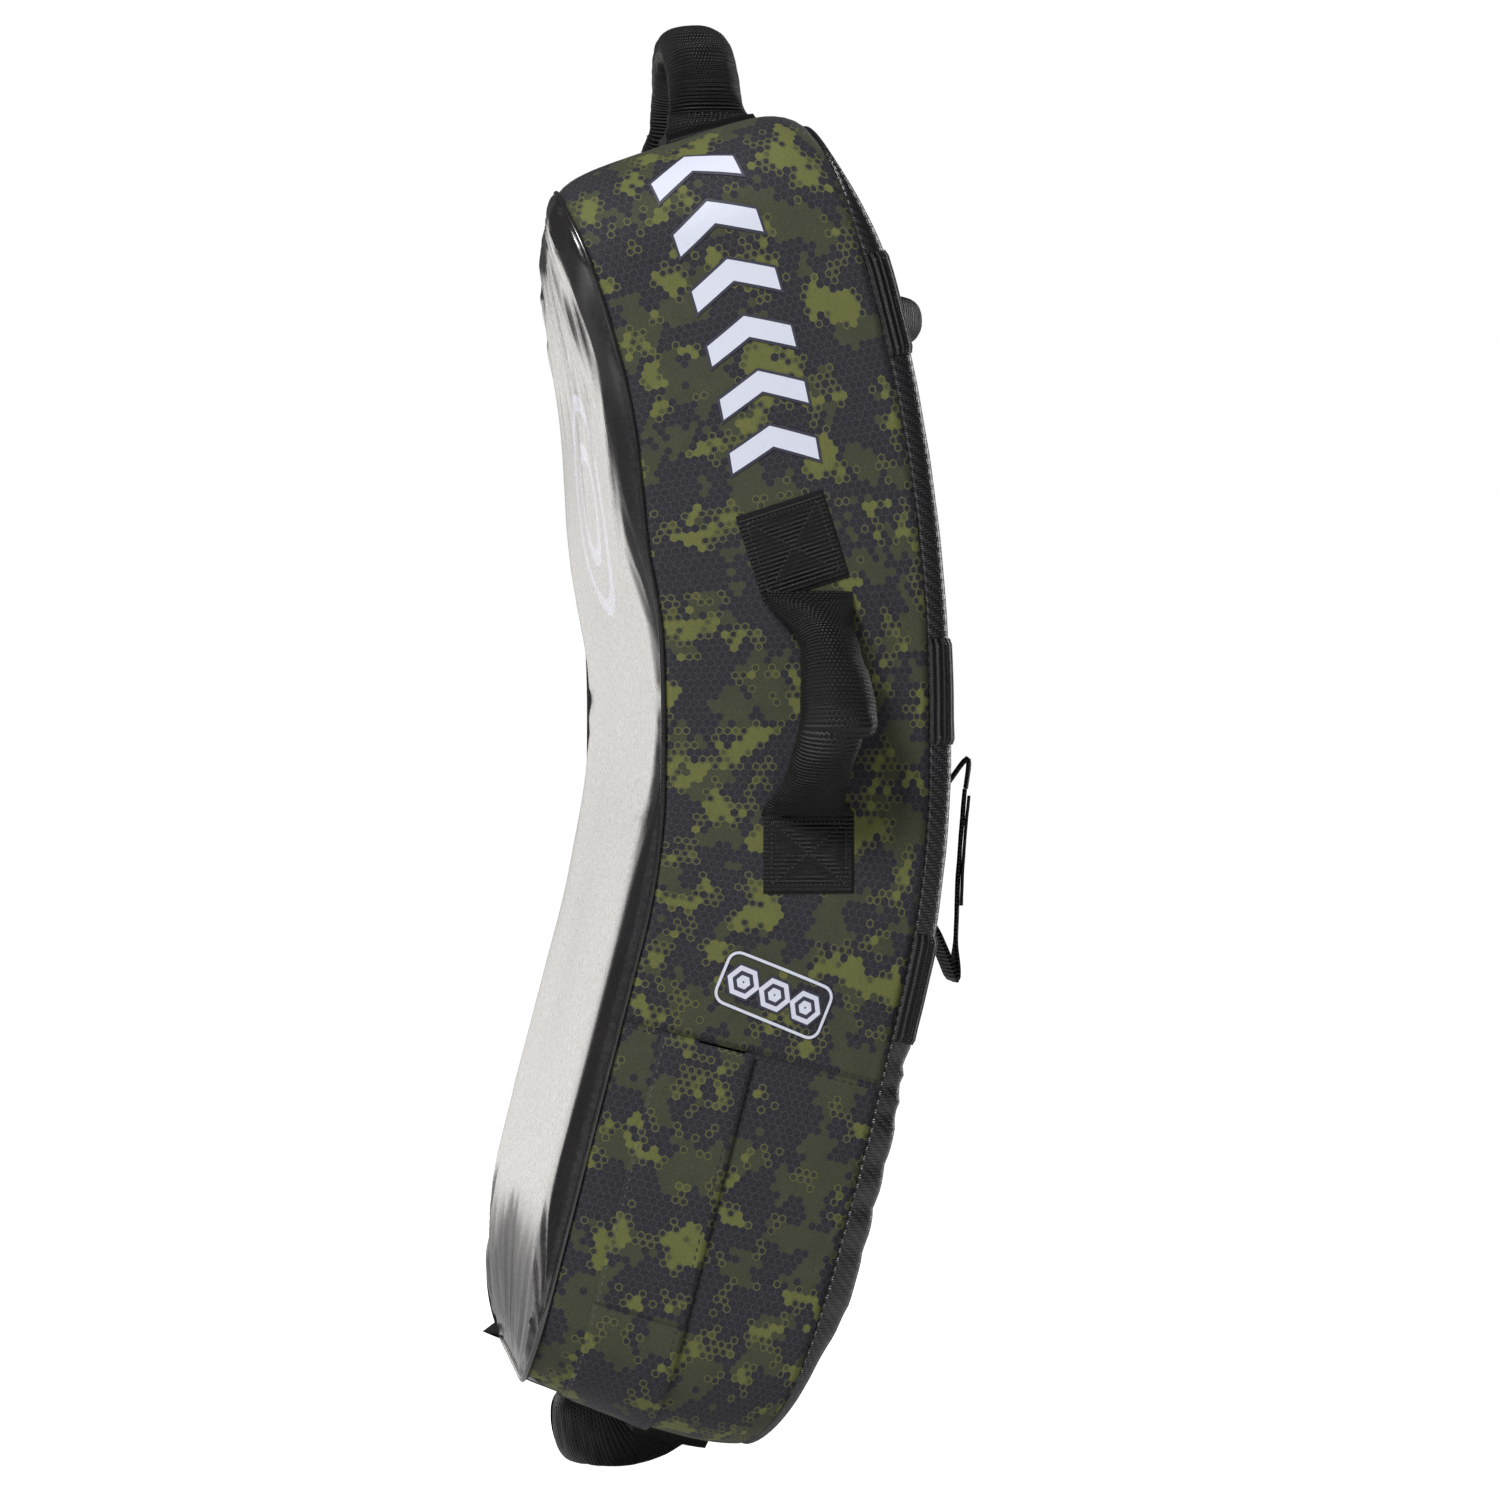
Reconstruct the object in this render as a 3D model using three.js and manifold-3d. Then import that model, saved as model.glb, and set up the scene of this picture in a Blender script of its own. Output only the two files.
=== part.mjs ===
// A curved kick shield for martial-arts training: laminated foam in a sewn cover, with padded handles on both
// sides and both ends, and a back carrying three webbing bands, a padded grip and two forearm straps.
// Millimetres. +Z runs up the shield, -X is the strike face, +X the holder's side, and Y runs across it.
import * as THREE from "three";
import { mergeVertices } from "three/addons/utils/BufferGeometryUtils.js";
import Module from "manifold-3d";

const wasm = await Module();
wasm.setup();

// ---------------------------------------------------------------- driving dimensions
const DEG = Math.PI / 180;
const WIDTH = 350;
const DEPTH = 150; // between the front and back seams
const FACE_CROWN = 9; // how far each padded face stands beyond its seam
const CORNER_RADIUS = 50;
const FLAT_HALF = 12; // the middle of the shield is flat this far up and down
const UPPER_RADIUS = 820;
const UPPER_LENGTH = 328;
const LOWER_RADIUS = 460;
const LOWER_BEND = 14.5 * DEG;
const LOWER_LENGTH = 383;

const SKIN = 2; // cover fabric
const GAP = 0.4; // between any two pieces that lie on each other
const WEBBING = 50; // handle webbing
const WEBBING_THICK = 2;
const SLEEVE_FABRIC = 1.4;
const PAST = 1; // how far a cutting body reaches past what it cuts
const WELD = 1e-4; // vertices closer than this are one

const CROSS_SEAM = -173; // where the upper gusset meets the zipped lower gusset, along the centre line
const ZIP_DEPTH = -18; // the zip's place between the front (-) and back (+) seams
const ZIP_GROOVE = 30; // width of the channel that the zip lies in
const ZIP_FOLD = 11; // the gusset's edges turn in this far either side of the zip's middle
const FLAP_HINGE = -52;
const FLAP_EDGE = 0;

// ---------------------------------------------------------------- solids and geometry
function solidOf(geometry) {
  const bare = geometry.clone();
  bare.deleteAttribute("normal");
  bare.deleteAttribute("uv");
  const merged = mergeVertices(bare, WELD);
  return new wasm.Manifold(
    new wasm.Mesh({
      numProp: 3,
      vertProperties: merged.attributes.position.array,
      triVerts: new Uint32Array(merged.index.array),
    }),
  );
}

function geometryOf(solid) {
  const { vertProperties, triVerts } = solid.getMesh();
  const geometry = new THREE.BufferGeometry();
  geometry.setAttribute("position", new THREE.BufferAttribute(vertProperties, 3));
  geometry.setIndex(new THREE.BufferAttribute(triVerts, 1));
  return geometry;
}

const cut = (body, ...tools) =>
  geometryOf(tools.reduce((left, tool) => left.subtract(solidOf(tool)), solidOf(body)));

const join = (first, ...others) =>
  geometryOf(others.reduce((sum, other) => sum.add(solidOf(other)), solidOf(first)));

// Carries every vertex of a primitive to a new place.
function reshape(geometry, place) {
  const position = geometry.attributes.position;
  const point = new THREE.Vector3();
  for (let i = 0; i < position.count; i += 1) {
    point.fromBufferAttribute(position, i);
    place(point);
    position.setXYZ(i, point.x, point.y, point.z);
  }
  return geometry;
}

function block(sizeX, sizeY, sizeZ, x = 0, y = 0, z = 0) {
  return new THREE.BoxGeometry(sizeX, sizeY, sizeZ).translate(x, y, z);
}

// ---------------------------------------------------------------- the bent centre line
// length runs up the shield from the middle of its bend; lean is the tangent's angle from vertical.
function centreAt(length) {
  const run = Math.abs(length) - FLAT_HALF;
  if (run <= 0) {
    return { x: 0, z: length, lean: 0 };
  }
  const up = length > 0;
  const radius = up ? UPPER_RADIUS : LOWER_RADIUS;
  const bend = up ? run / radius : Math.min(run / radius, LOWER_BEND);
  const straight = run - bend * radius;
  const x = -radius * (1 - Math.cos(bend)) - straight * Math.sin(bend);
  const z = FLAT_HALF + radius * Math.sin(bend) + straight * Math.cos(bend);
  return { x, z: up ? z : -z, lean: up ? bend : -bend };
}

// A group whose local X is the depth direction, Y the width and Z the run of the centre line at that length.
function placeAt(length, depth = 0, width = 0) {
  const { x, z, lean } = centreAt(length);
  const group = new THREE.Group();
  group.position.set(x + depth * Math.cos(lean), width, z + depth * Math.sin(lean));
  group.rotation.y = -lean;
  return group;
}

// ---------------------------------------------------------------- slabs of the shield's outline
const CORNER_STEPS = 4;
const BEND_STEP = 40;
const BOTTOM = -Infinity;
const TOP = Infinity;

// Lengths from start to end in even steps, with the two ends of the flat middle among them.
function stations(start, end) {
  const breaks = [start, -FLAT_HALF, FLAT_HALF, end].filter((at) => at >= start && at <= end);
  const lengths = [start];
  breaks.slice(1).forEach((to, i) => {
    const from = breaks[i];
    const steps = Math.ceil((to - from) / BEND_STEP);
    for (let step = 1; step <= steps; step += 1) {
      lengths.push(from + ((to - from) * step) / steps);
    }
  });
  return lengths;
}

// Half widths along the outline, pulled in by inset.
// BOTTOM and TOP give the rounded ends, a number gives a straight cut.
function outline(inset, from, to) {
  const rows = [];
  const radius = CORNER_RADIUS - inset;
  const start = from === BOTTOM ? -LOWER_LENGTH + CORNER_RADIUS : from;
  const end = to === TOP ? UPPER_LENGTH - CORNER_RADIUS : to;
  const corner = (step) => {
    const angle = (step / CORNER_STEPS) * 90 * DEG;
    return { along: radius * Math.cos(angle), half: WIDTH / 2 - CORNER_RADIUS + radius * Math.sin(angle) };
  };
  if (from === BOTTOM) {
    for (let i = 0; i < CORNER_STEPS; i += 1) {
      rows.push({ length: start - corner(i).along, half: corner(i).half });
    }
  }
  rows.push(...stations(start, end).map((length) => ({ length, half: WIDTH / 2 - inset })));
  if (to === TOP) {
    for (let i = CORNER_STEPS - 1; i >= 0; i -= 1) {
      rows.push({ length: end + corner(i).along, half: corner(i).half });
    }
  }
  return rows;
}

// A slab bent to the centre line. levels are [depth, inset] pairs, front to back.
function slab(levels, from = BOTTOM, to = TOP) {
  const rows = levels.map(([, inset]) => outline(inset, from, to));
  const count = rows[0].length - 1;
  const layers = levels.length - 1;
  const box = new THREE.BoxGeometry(2, count, layers, 1, count, layers);
  return reshape(box, (p) => {
    const level = Math.round(p.z + layers / 2);
    const { length, half } = rows[level][Math.round(p.y + count / 2)];
    const { x, z, lean } = centreAt(length);
    const depth = levels[level][0];
    p.set(x + depth * Math.cos(lean), p.x * half, z + depth * Math.sin(lean));
  });
}

// A skin standing between two insets of the outline: the wall of the gusset and what lies along it.
function wall(depthFrom, depthTo, insetOut, insetIn, from = BOTTOM, to = TOP) {
  const outer = slab([[depthFrom, insetOut], [depthTo, insetOut]], from, to);
  const innerFrom = from === BOTTOM ? BOTTOM : from - PAST;
  const innerTo = to === TOP ? TOP : to + PAST;
  const inner = slab([[depthFrom - PAST, insetIn], [depthTo + PAST, insetIn]], innerFrom, innerTo);
  return cut(outer, inner);
}

// The padded face's rolled section at an offset from its surface. side is -1 for the front, +1 for the back.
// The roll rises from its root at the seam, over a shoulder, to the flat of the face.
const ROLL_INSET = 8;
const SHOULDER_INSET = 1.5;
const SHOULDER_RISE = 0.6 * FACE_CROWN;
function faceLevels(side, offset, root) {
  const levels = [
    [side * (DEPTH / 2 + root), -offset],
    [side * (DEPTH / 2 + SHOULDER_RISE), SHOULDER_INSET - offset],
    [side * (DEPTH / 2 + FACE_CROWN + offset), ROLL_INSET - offset / 2],
  ];
  return side > 0 ? levels : levels.reverse();
}

// A sheet over a padded face, between two offsets from the face's surface.
function faceSheet(side, offsetIn, offsetOut, from = BOTTOM, to = TOP) {
  const innerFrom = from === BOTTOM ? BOTTOM : from - PAST;
  const innerTo = to === TOP ? TOP : to + PAST;
  return cut(
    slab(faceLevels(side, offsetOut, GAP), from, to),
    slab(faceLevels(side, offsetIn, -PAST), innerFrom, innerTo),
  );
}

// ---------------------------------------------------------------- materials
const material = (color, roughness, metalness = 0) =>
  new THREE.MeshStandardMaterial({ color, roughness, metalness });
const strikeVinyl = material(0x17161a, 0.28);
const backVinyl = material(0x1c1c20, 0.35);
const camoFabric = material(0x45463c, 0.85);
const blackWebbing = material(0x141416, 0.8);
const blackSleeve = material(0x17171a, 0.75);
const denseFoam = material(0xd8d4c8, 0.9);
const softFoam = material(0x3c4a5c, 0.9);
const zipTape = material(0x101012, 0.8);
const zipCoil = material(0x1d1d20, 0.45);
const zipMetal = material(0x2a2a2c, 0.35, 0.9);
const hookTape = material(0x0e0e10, 0.95);

const shield = new THREE.Group();

function add(parent, name, geometry, finish) {
  const mesh = new THREE.Mesh(geometry, finish);
  mesh.name = name;
  parent.add(mesh);
  return mesh;
}

// ---------------------------------------------------------------- foam: three laminated layers
const FOAM_INSET = SKIN + GAP;
const FACE_LAYER = 22; // how far the outer layers reach in from the seams

function addFoam() {
  const seamIn = DEPTH / 2 - FACE_LAYER;
  const faceLayer = (side) => {
    const levels = faceLevels(side, -FOAM_INSET, -GAP);
    const joint = [side * (seamIn + GAP / 2), FOAM_INSET];
    return side > 0 ? slab([joint, ...levels]) : slab([...levels, joint]);
  };
  const core = slab([
    [-seamIn + GAP / 2, FOAM_INSET],
    [seamIn - GAP / 2, FOAM_INSET],
  ]);
  const half = ZIP_GROOVE / 2 + PAST;
  const groove = wall(ZIP_DEPTH - half, ZIP_DEPTH + half, 0, ZIP_RECESS + SKIN, BOTTOM, CROSS_SEAM - PAST);
  add(shield, "strike_foam_layer", faceLayer(-1), softFoam);
  add(shield, "core_foam", cut(core, groove), denseFoam);
  add(shield, "back_foam_layer", faceLayer(1), softFoam);
}

// ---------------------------------------------------------------- cover: faces, gussets and seam piping
const PIPING_RADIUS = 1.6;
const PIPING_OUT = 0.5; // bead's inner side outside the gusset's surface

// A bead round the whole outline at one seam, standing out of the gusset.
function piping(depth) {
  const bead = PIPING_OUT + PIPING_RADIUS * 2;
  const levels = [
    [depth - PIPING_RADIUS, -PIPING_OUT - PIPING_RADIUS],
    [depth - PIPING_RADIUS / 2, -bead],
    [depth + PIPING_RADIUS / 2, -bead],
    [depth + PIPING_RADIUS, -PIPING_OUT - PIPING_RADIUS],
  ];
  const reach = PIPING_RADIUS + PAST;
  return cut(slab(levels), slab([[depth - reach, -PIPING_OUT], [depth + reach, -PIPING_OUT]]));
}

function addCover() {
  const half = DEPTH / 2 - GAP;
  add(shield, "strike_panel", faceSheet(-1, -SKIN, 0), strikeVinyl);
  add(shield, "back_panel", faceSheet(1, -SKIN, 0), backVinyl);
  add(shield, "upper_gusset", wall(-half, half, 0, SKIN, CROSS_SEAM + GAP, TOP), camoFabric);

  // The lower gusset's two halves turn in at the zip and hold its tape.
  const lowerTop = CROSS_SEAM - GAP;
  const turned = (depthFrom, depthTo, foldFrom) =>
    join(
      wall(depthFrom, depthTo, 0, SKIN, BOTTOM, lowerTop),
      wall(foldFrom, foldFrom + SKIN, 0, ZIP_RECESS - GAP, BOTTOM, lowerTop - SKIN),
    );
  const frontEdge = ZIP_DEPTH - ZIP_FOLD;
  const backEdge = ZIP_DEPTH + ZIP_FOLD;
  add(shield, "lower_gusset_front", turned(-half, frontEdge, frontEdge - SKIN), camoFabric);
  add(shield, "lower_gusset_back", turned(backEdge, half, backEdge), camoFabric);
  add(shield, "front_piping", piping(-DEPTH / 2), strikeVinyl);
}

// ---------------------------------------------------------------- zip under its flap
const ZIP_RECESS = 7; // tape's outer face below the gusset's surface
const ZIP_TOP = CROSS_SEAM - 4;
const TAPE_THICK = 0.8;
const TAPE_HALF = ZIP_GROOVE / 2 - 2;
const COIL_BASE = ZIP_RECESS - GAP; // coil's inner face below the gusset's surface
const COIL_WIDTH = 6;
const COIL_HEIGHT = 1.7;
const STOP = { width: 7, height: 1.8, length: 1.4 };
const SLIDER = { width: 11, length: 14, plate: 1.1, flange: 1.5, below: 20 };
const BRIDGE = { width: 3, length: 9, post: 1.6, thick: 0.8, clearance: 1.7 };
const PULL = { width: 8, side: 1.5, hole: 4.8, bar: 1, foot: 1, thick: 0.8, tabWidth: 6, tabLength: 20 };
const FLAP_THICK = 1.6;
const FLAP_OUT = 0.6; // flap's inner face outside the gusset's surface
const FLAP_FOOT = -LOWER_LENGTH + CORNER_RADIUS + 6; // where the openable leg ends, above the corner

// The tape and the coil on it run down one side, round the bottom and up the other, with a stop at each end.
function addZipTape() {
  const strip = (half, out, inward, top) =>
    wall(ZIP_DEPTH - half, ZIP_DEPTH + half, out, inward, BOTTOM, top);
  add(shield, "zip_tape", strip(TAPE_HALF, ZIP_RECESS, ZIP_RECESS + TAPE_THICK, ZIP_TOP), zipTape);
  const coilTop = ZIP_TOP - STOP.length - GAP;
  add(shield, "zip_coil", strip(COIL_WIDTH / 2, COIL_BASE - COIL_HEIGHT, COIL_BASE, coilTop), zipCoil);
  [-1, 1].forEach((side) => {
    const stop = placeAt(ZIP_TOP, ZIP_DEPTH, side * (WIDTH / 2 - COIL_BASE + STOP.height / 2));
    shield.add(stop);
    const name = side < 0 ? "zip_stop_left" : "zip_stop_right";
    add(stop, name, block(STOP.width, STOP.height, STOP.length), zipMetal);
  });
}

// The slider straddles the coil: a plate with two flanges and a bridge.
// The pull's top bar passes under the bridge.
function addSlider() {
  const slider = placeAt(CROSS_SEAM - SLIDER.below, ZIP_DEPTH, -WIDTH / 2 + COIL_BASE);
  slider.name = "zip_slider_frame";
  shield.add(slider);
  const plateIn = COIL_HEIGHT + GAP;
  const plateMiddle = plateIn + SLIDER.plate / 2;
  const bridgeIn = plateIn + SLIDER.plate + BRIDGE.clearance;
  const bridgeMiddle = bridgeIn + BRIDGE.thick / 2;
  const flangeX = (SLIDER.width - SLIDER.flange) / 2;
  const postZ = (BRIDGE.length - BRIDGE.post) / 2;
  const plate = block(SLIDER.width, SLIDER.plate, SLIDER.length, 0, -plateMiddle, 0);
  const flange = (side) =>
    block(SLIDER.flange, plateMiddle, SLIDER.length, side * flangeX, -plateMiddle / 2, 0);
  const postHeight = bridgeMiddle - plateMiddle;
  const post = (end) =>
    block(BRIDGE.width, postHeight, BRIDGE.post, 0, -plateMiddle - postHeight / 2, end * postZ);
  const bridge = block(BRIDGE.width, BRIDGE.thick, BRIDGE.length, 0, -bridgeMiddle, 0);
  add(slider, "zip_slider", join(plate, flange(-1), flange(1), post(-1), post(1), bridge), zipMetal);

  // The pull's own origin is the middle of its top bar's thickness, a little below the bar's middle.
  const pull = new THREE.Group();
  pull.name = "zip_pull_frame";
  pull.position.set(0, -bridgeIn + BRIDGE.clearance / 2, 0);
  slider.add(pull);
  const barTop = 0.6 * PULL.bar;
  const holeTop = barTop - PULL.bar;
  const ringFoot = holeTop - PULL.hole - PULL.foot;
  const ring = cut(
    block(PULL.width, PULL.thick, barTop - ringFoot, 0, 0, (barTop + ringFoot) / 2),
    block(PULL.width - 2 * PULL.side, PULL.thick + PAST, PULL.hole, 0, 0, holeTop - PULL.hole / 2),
  );
  const tabTop = ringFoot + PULL.foot / 2;
  const tab = block(PULL.tabWidth, PULL.thick, PULL.tabLength, 0, 0, tabTop - PULL.tabLength / 2);
  add(pull, "zip_pull", join(ring, tab), zipMetal);
}

// Flap over the zip: one leg on each side that lifts, and a leg sewn down round the bottom.
function addFlap() {
  const legLength = CROSS_SEAM - GAP * 2 - FLAP_FOOT;
  const reach = FLAP_EDGE - FLAP_HINGE;
  [-1, 1].forEach((side) => {
    const hinge = placeAt(FLAP_FOOT + legLength / 2, FLAP_HINGE, side * (WIDTH / 2 + FLAP_OUT));
    const name = side < 0 ? "left_zip_flap" : "right_zip_flap";
    hinge.name = `${name}_frame`;
    shield.add(hinge);
    add(hinge, name, block(reach, FLAP_THICK, legLength, reach / 2, (side * FLAP_THICK) / 2, 0), camoFabric);
  });
  const round = wall(FLAP_HINGE, FLAP_EDGE, -FLAP_OUT - FLAP_THICK, -FLAP_OUT, BOTTOM, FLAP_FOOT - GAP);
  add(shield, "bottom_zip_flap", round, camoFabric);
}

// ---------------------------------------------------------------- padded handles
// A handle arches over local Y, stands out along local Z, and its webbing is broad along local X.
const ARCH_STEPS = 8;
const ROLL_SIDES = 10;

// Place on an elliptical arch at an angle from its crown, a distance out from the arch line.
function archPlace(arch, angle, out) {
  const tangent = new THREE.Vector2(arch.span * Math.cos(angle), -arch.rise * Math.sin(angle)).normalize();
  return {
    along: arch.span * Math.sin(angle) - tangent.y * out,
    height: arch.rise * Math.cos(angle) + tangent.x * out,
  };
}

// A padded roll along the arch: half is its half width and thick its half thickness, at the crown and ends.
function archRoll(arch, reach, crown, ends, grow = 0) {
  const roll = new THREE.CylinderGeometry(1, 1, 2, ROLL_SIDES, ARCH_STEPS);
  return reshape(roll, (p) => {
    const blend = p.y * p.y;
    const half = crown.half + (ends.half - crown.half) * blend + grow;
    const thick = crown.thick + (ends.thick - crown.thick) * blend + grow;
    const { along, height } = archPlace(arch, p.y * reach, p.z * thick);
    p.set(p.x * half, along, height);
  });
}

// A ribbon along the arch between two angles; halfWidth may depend on the height above the foot.
function archRibbon(arch, from, to, thick, halfWidth) {
  const ribbon = new THREE.BoxGeometry(2, 2, 1, 1, ARCH_STEPS, 1);
  return reshape(ribbon, (p) => {
    const angle = from + ((to - from) * (p.y + 1)) / 2;
    const { along, height } = archPlace(arch, angle, p.z * thick);
    p.set(p.x * halfWidth(height), along, height);
  });
}

// Everything from the swing axis in to SWING_CLEAR stays put, so what turns starts outside that radius.
const UP_THE_ARCH = new THREE.Vector3(0, 1, 0);
const SWING_CLEAR = 25;
const PAD_CLEAR = 2; // the pad starts this far outside it
const PAD_CROWN = { half: 18.5, thick: 12 };
const PAD_END_THICK = 7;
const CORE_STRAP_HALF = 11;
const CORE_STRAP_THICK = 4;
const SLOT_CLEAR = 1.2; // between the strap and the slot in the padding
const TAIL_CLEAR = 3 * DEG; // between a tail and the pad it would run into
const FOOT_ANGLE = 88 * DEG; // where a tail meets its patch, measured from the arch's crown
const TAIL_LEAST_HALF = 4;

// Shares of the pad's reach: the sleeve is open at both ends, its filling and strap stop short of them.
const SLEEVE_BORE = 1.04;
const FILLING_END = 0.97;
const STRAP_END = 0.99;
const SLOT_END = 1.1;

function padSizes(arch) {
  const reach = Math.acos((SWING_CLEAR + PAD_CLEAR) / arch.rise);
  return { reach, crown: PAD_CROWN, ends: { half: arch.endHalf, thick: PAD_END_THICK } };
}

// A sleeve, its filling and the strap inside it, all on one arch.
function addPaddedRoll(swing, name, arch, { reach, crown, ends }, strapHalf) {
  const roll = (share, grow) => archRoll(arch, reach * share, crown, ends, grow);
  const ribbon = (share, thick, half) => archRibbon(arch, -reach * share, reach * share, thick, () => half);
  const slot = ribbon(SLOT_END, CORE_STRAP_THICK + 2 * SLOT_CLEAR, strapHalf + GAP);
  add(swing, `${name}_sleeve`, cut(roll(1, 0), roll(SLEEVE_BORE, -SLEEVE_FABRIC)), blackSleeve);
  add(swing, `${name}_padding`, cut(roll(FILLING_END, -SLEEVE_FABRIC - GAP), slot), softFoam);
  add(swing, `${name}_strap`, ribbon(STRAP_END, CORE_STRAP_THICK, strapHalf), blackWebbing);
}

// The webbing between a foot and the roll, turning from flat at the foot to the handle's own lean.
function tail(arch, side, lean) {
  const top = padSizes(arch).reach + TAIL_CLEAR;
  const clear = SWING_CLEAR - PAST;
  const inside = (height) => Math.sqrt(Math.max(clear ** 2 - height ** 2, TAIL_LEAST_HALF ** 2));
  const [from, to] = side > 0 ? [top, FOOT_ANGLE] : [-FOOT_ANGLE, -top];
  const ribbon = archRibbon(arch, from, to, WEBBING_THICK, inside);
  return reshape(ribbon, (p) => {
    const turn = lean * Math.min(Math.max(p.z / clear, 0), 1);
    p.applyAxisAngle(UP_THE_ARCH, turn);
  });
}

// frame: the group on the surface. lean: how far the handle hangs over at rest. feet: each foot's patch.
function addHandle(name, frame, arch, lean, feet) {
  const swing = new THREE.Group();
  swing.name = `${name}_frame`;
  swing.rotation.y = lean;
  frame.add(swing);
  addPaddedRoll(swing, name, arch, padSizes(arch), CORE_STRAP_HALF);
  feet.forEach(({ suffix, side, patch }) => {
    add(frame, `${name}_${suffix}`, join(patch, tail(arch, side, lean)), blackWebbing);
  });
}

const SIDE_ARCH = { span: 62.5, rise: 38, endHalf: 20 };
const TOP_ARCH = { span: 47, rise: 67, endHalf: 15 };
const BOTTOM_ARCH = { span: 47, rise: 46, endHalf: 15 };
const TOP_LEAN = 20 * DEG; // the top handle stands upright on its sloping end
const BOTTOM_LEAN = 54 * DEG; // the bottom handle has flopped over towards the strike face
const SIDE_HANDLE_LENGTH = 20; // along the centre line, the middle of the handle's chord
const SIDE_HANDLE_DEPTH = 3;
const SIDE_UPPER_PATCH = 50;
const SIDE_LOWER_PATCH = 44;
const SIDE_PATCH_TURN = 18 * DEG; // the upper patch is sewn on askew
const SIDE_LEAN = 16 * DEG;
const TOP_HANDLE_DEPTH = 22;
const BOTTOM_HANDLE_DEPTH = 27;
const END_PATCH = 36;
const PATCH_TUCK = 3; // a patch starts this far inside the end of its arch
const PATCH_LIFT = GAP + WEBBING_THICK / 2;

function addSideHandle(side) {
  const name = side < 0 ? "left_handle" : "right_handle";
  const frame = new THREE.Group();
  const middle = centreAt(SIDE_HANDLE_LENGTH);
  frame.position.set(middle.x + SIDE_HANDLE_DEPTH, (side * WIDTH) / 2, middle.z);
  // Local Y points up the shield and local Z out of its side: local X is +X on the left, -X on the right.
  frame.rotation.set(side < 0 ? 90 * DEG : -90 * DEG, 0, side < 0 ? 0 : 180 * DEG);
  shield.add(frame);
  const mirror = side < 0 ? 1 : -1;
  const patch = (end, size, turn) =>
    block(WEBBING, size, WEBBING_THICK, 0, (end * size) / 2, 0)
      .rotateZ(mirror * turn)
      .translate(0, end * (SIDE_ARCH.span - PATCH_TUCK), PATCH_LIFT);
  addHandle(name, frame, SIDE_ARCH, mirror * SIDE_LEAN, [
    { suffix: "upper_anchor", side: 1, patch: patch(1, SIDE_UPPER_PATCH, SIDE_PATCH_TURN) },
    { suffix: "lower_anchor", side: -1, patch: patch(-1, SIDE_LOWER_PATCH, 0) },
  ]);
}

// End handles arch across the width, so their local Y is the shield's width.
function addEndHandle(name, length, depth, arch, lean) {
  const up = length > 0;
  const surface = placeAt(length, depth);
  const frame = new THREE.Group();
  frame.rotation.y = up ? 0 : 180 * DEG;
  surface.add(frame);
  shield.add(surface);
  const patchY = arch.span - PATCH_TUCK + END_PATCH / 2;
  const patch = (end) => block(WEBBING, END_PATCH, WEBBING_THICK, 0, end * patchY, PATCH_LIFT);
  addHandle(name, frame, arch, lean, [
    { suffix: "left_anchor", side: -1, patch: patch(-1) },
    { suffix: "right_anchor", side: 1, patch: patch(1) },
  ]);
}

// ---------------------------------------------------------------- the holder's side
const BACK_SURFACE = DEPTH / 2 + FACE_CROWN;
const BAND_TOP = BACK_SURFACE + GAP + WEBBING_THICK;
const BAND_RUN = 48; // length of centre line that each band covers
const BAND_LENGTHS = { upper: 222, middle: 25, lower: -120 };
const GRIP_ARCH = { span: 54, rise: 20 };
const GRIP_HALF = 12;
const GRIP_END_THICK = 10;
const GRIP_REACH = 40 * DEG;
const GRIP_STRAP_HALF = 8;
const GRIP_TAIL_HALF = 12;
const GRIP_PATCH = { width: 38, length: 30, tuck: 2 };
const GRIP_LEAN = 14 * DEG;
const STRAP_WIDTH = 40;
const STRAP_THICK = 2;
const STRAP_HEIGHT = 122;
const STRAP_STAND = 21;
const STRAP_SPREAD = 72; // each forearm strap's place either side of the middle
const STRAP_LENGTH = -61; // along the centre line
const STRAP_BEND_STEPS = 5;
const STRAP_START = 20 * DEG; // how far round its upper bend the loop's inner end starts
const STRAP_END_BELOW = 28; // where the loop's outer run ends, below its upper bend's top
const TAIL_BELOW = 14;
const TAIL_LENGTH = 70;

function addBands() {
  Object.entries(BAND_LENGTHS).forEach(([name, length]) => {
    const sheet = faceSheet(1, GAP, BAND_TOP - BACK_SURFACE, length - BAND_RUN / 2, length + BAND_RUN / 2);
    add(shield, `${name}_back_band`, sheet, blackWebbing);
  });
}

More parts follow.
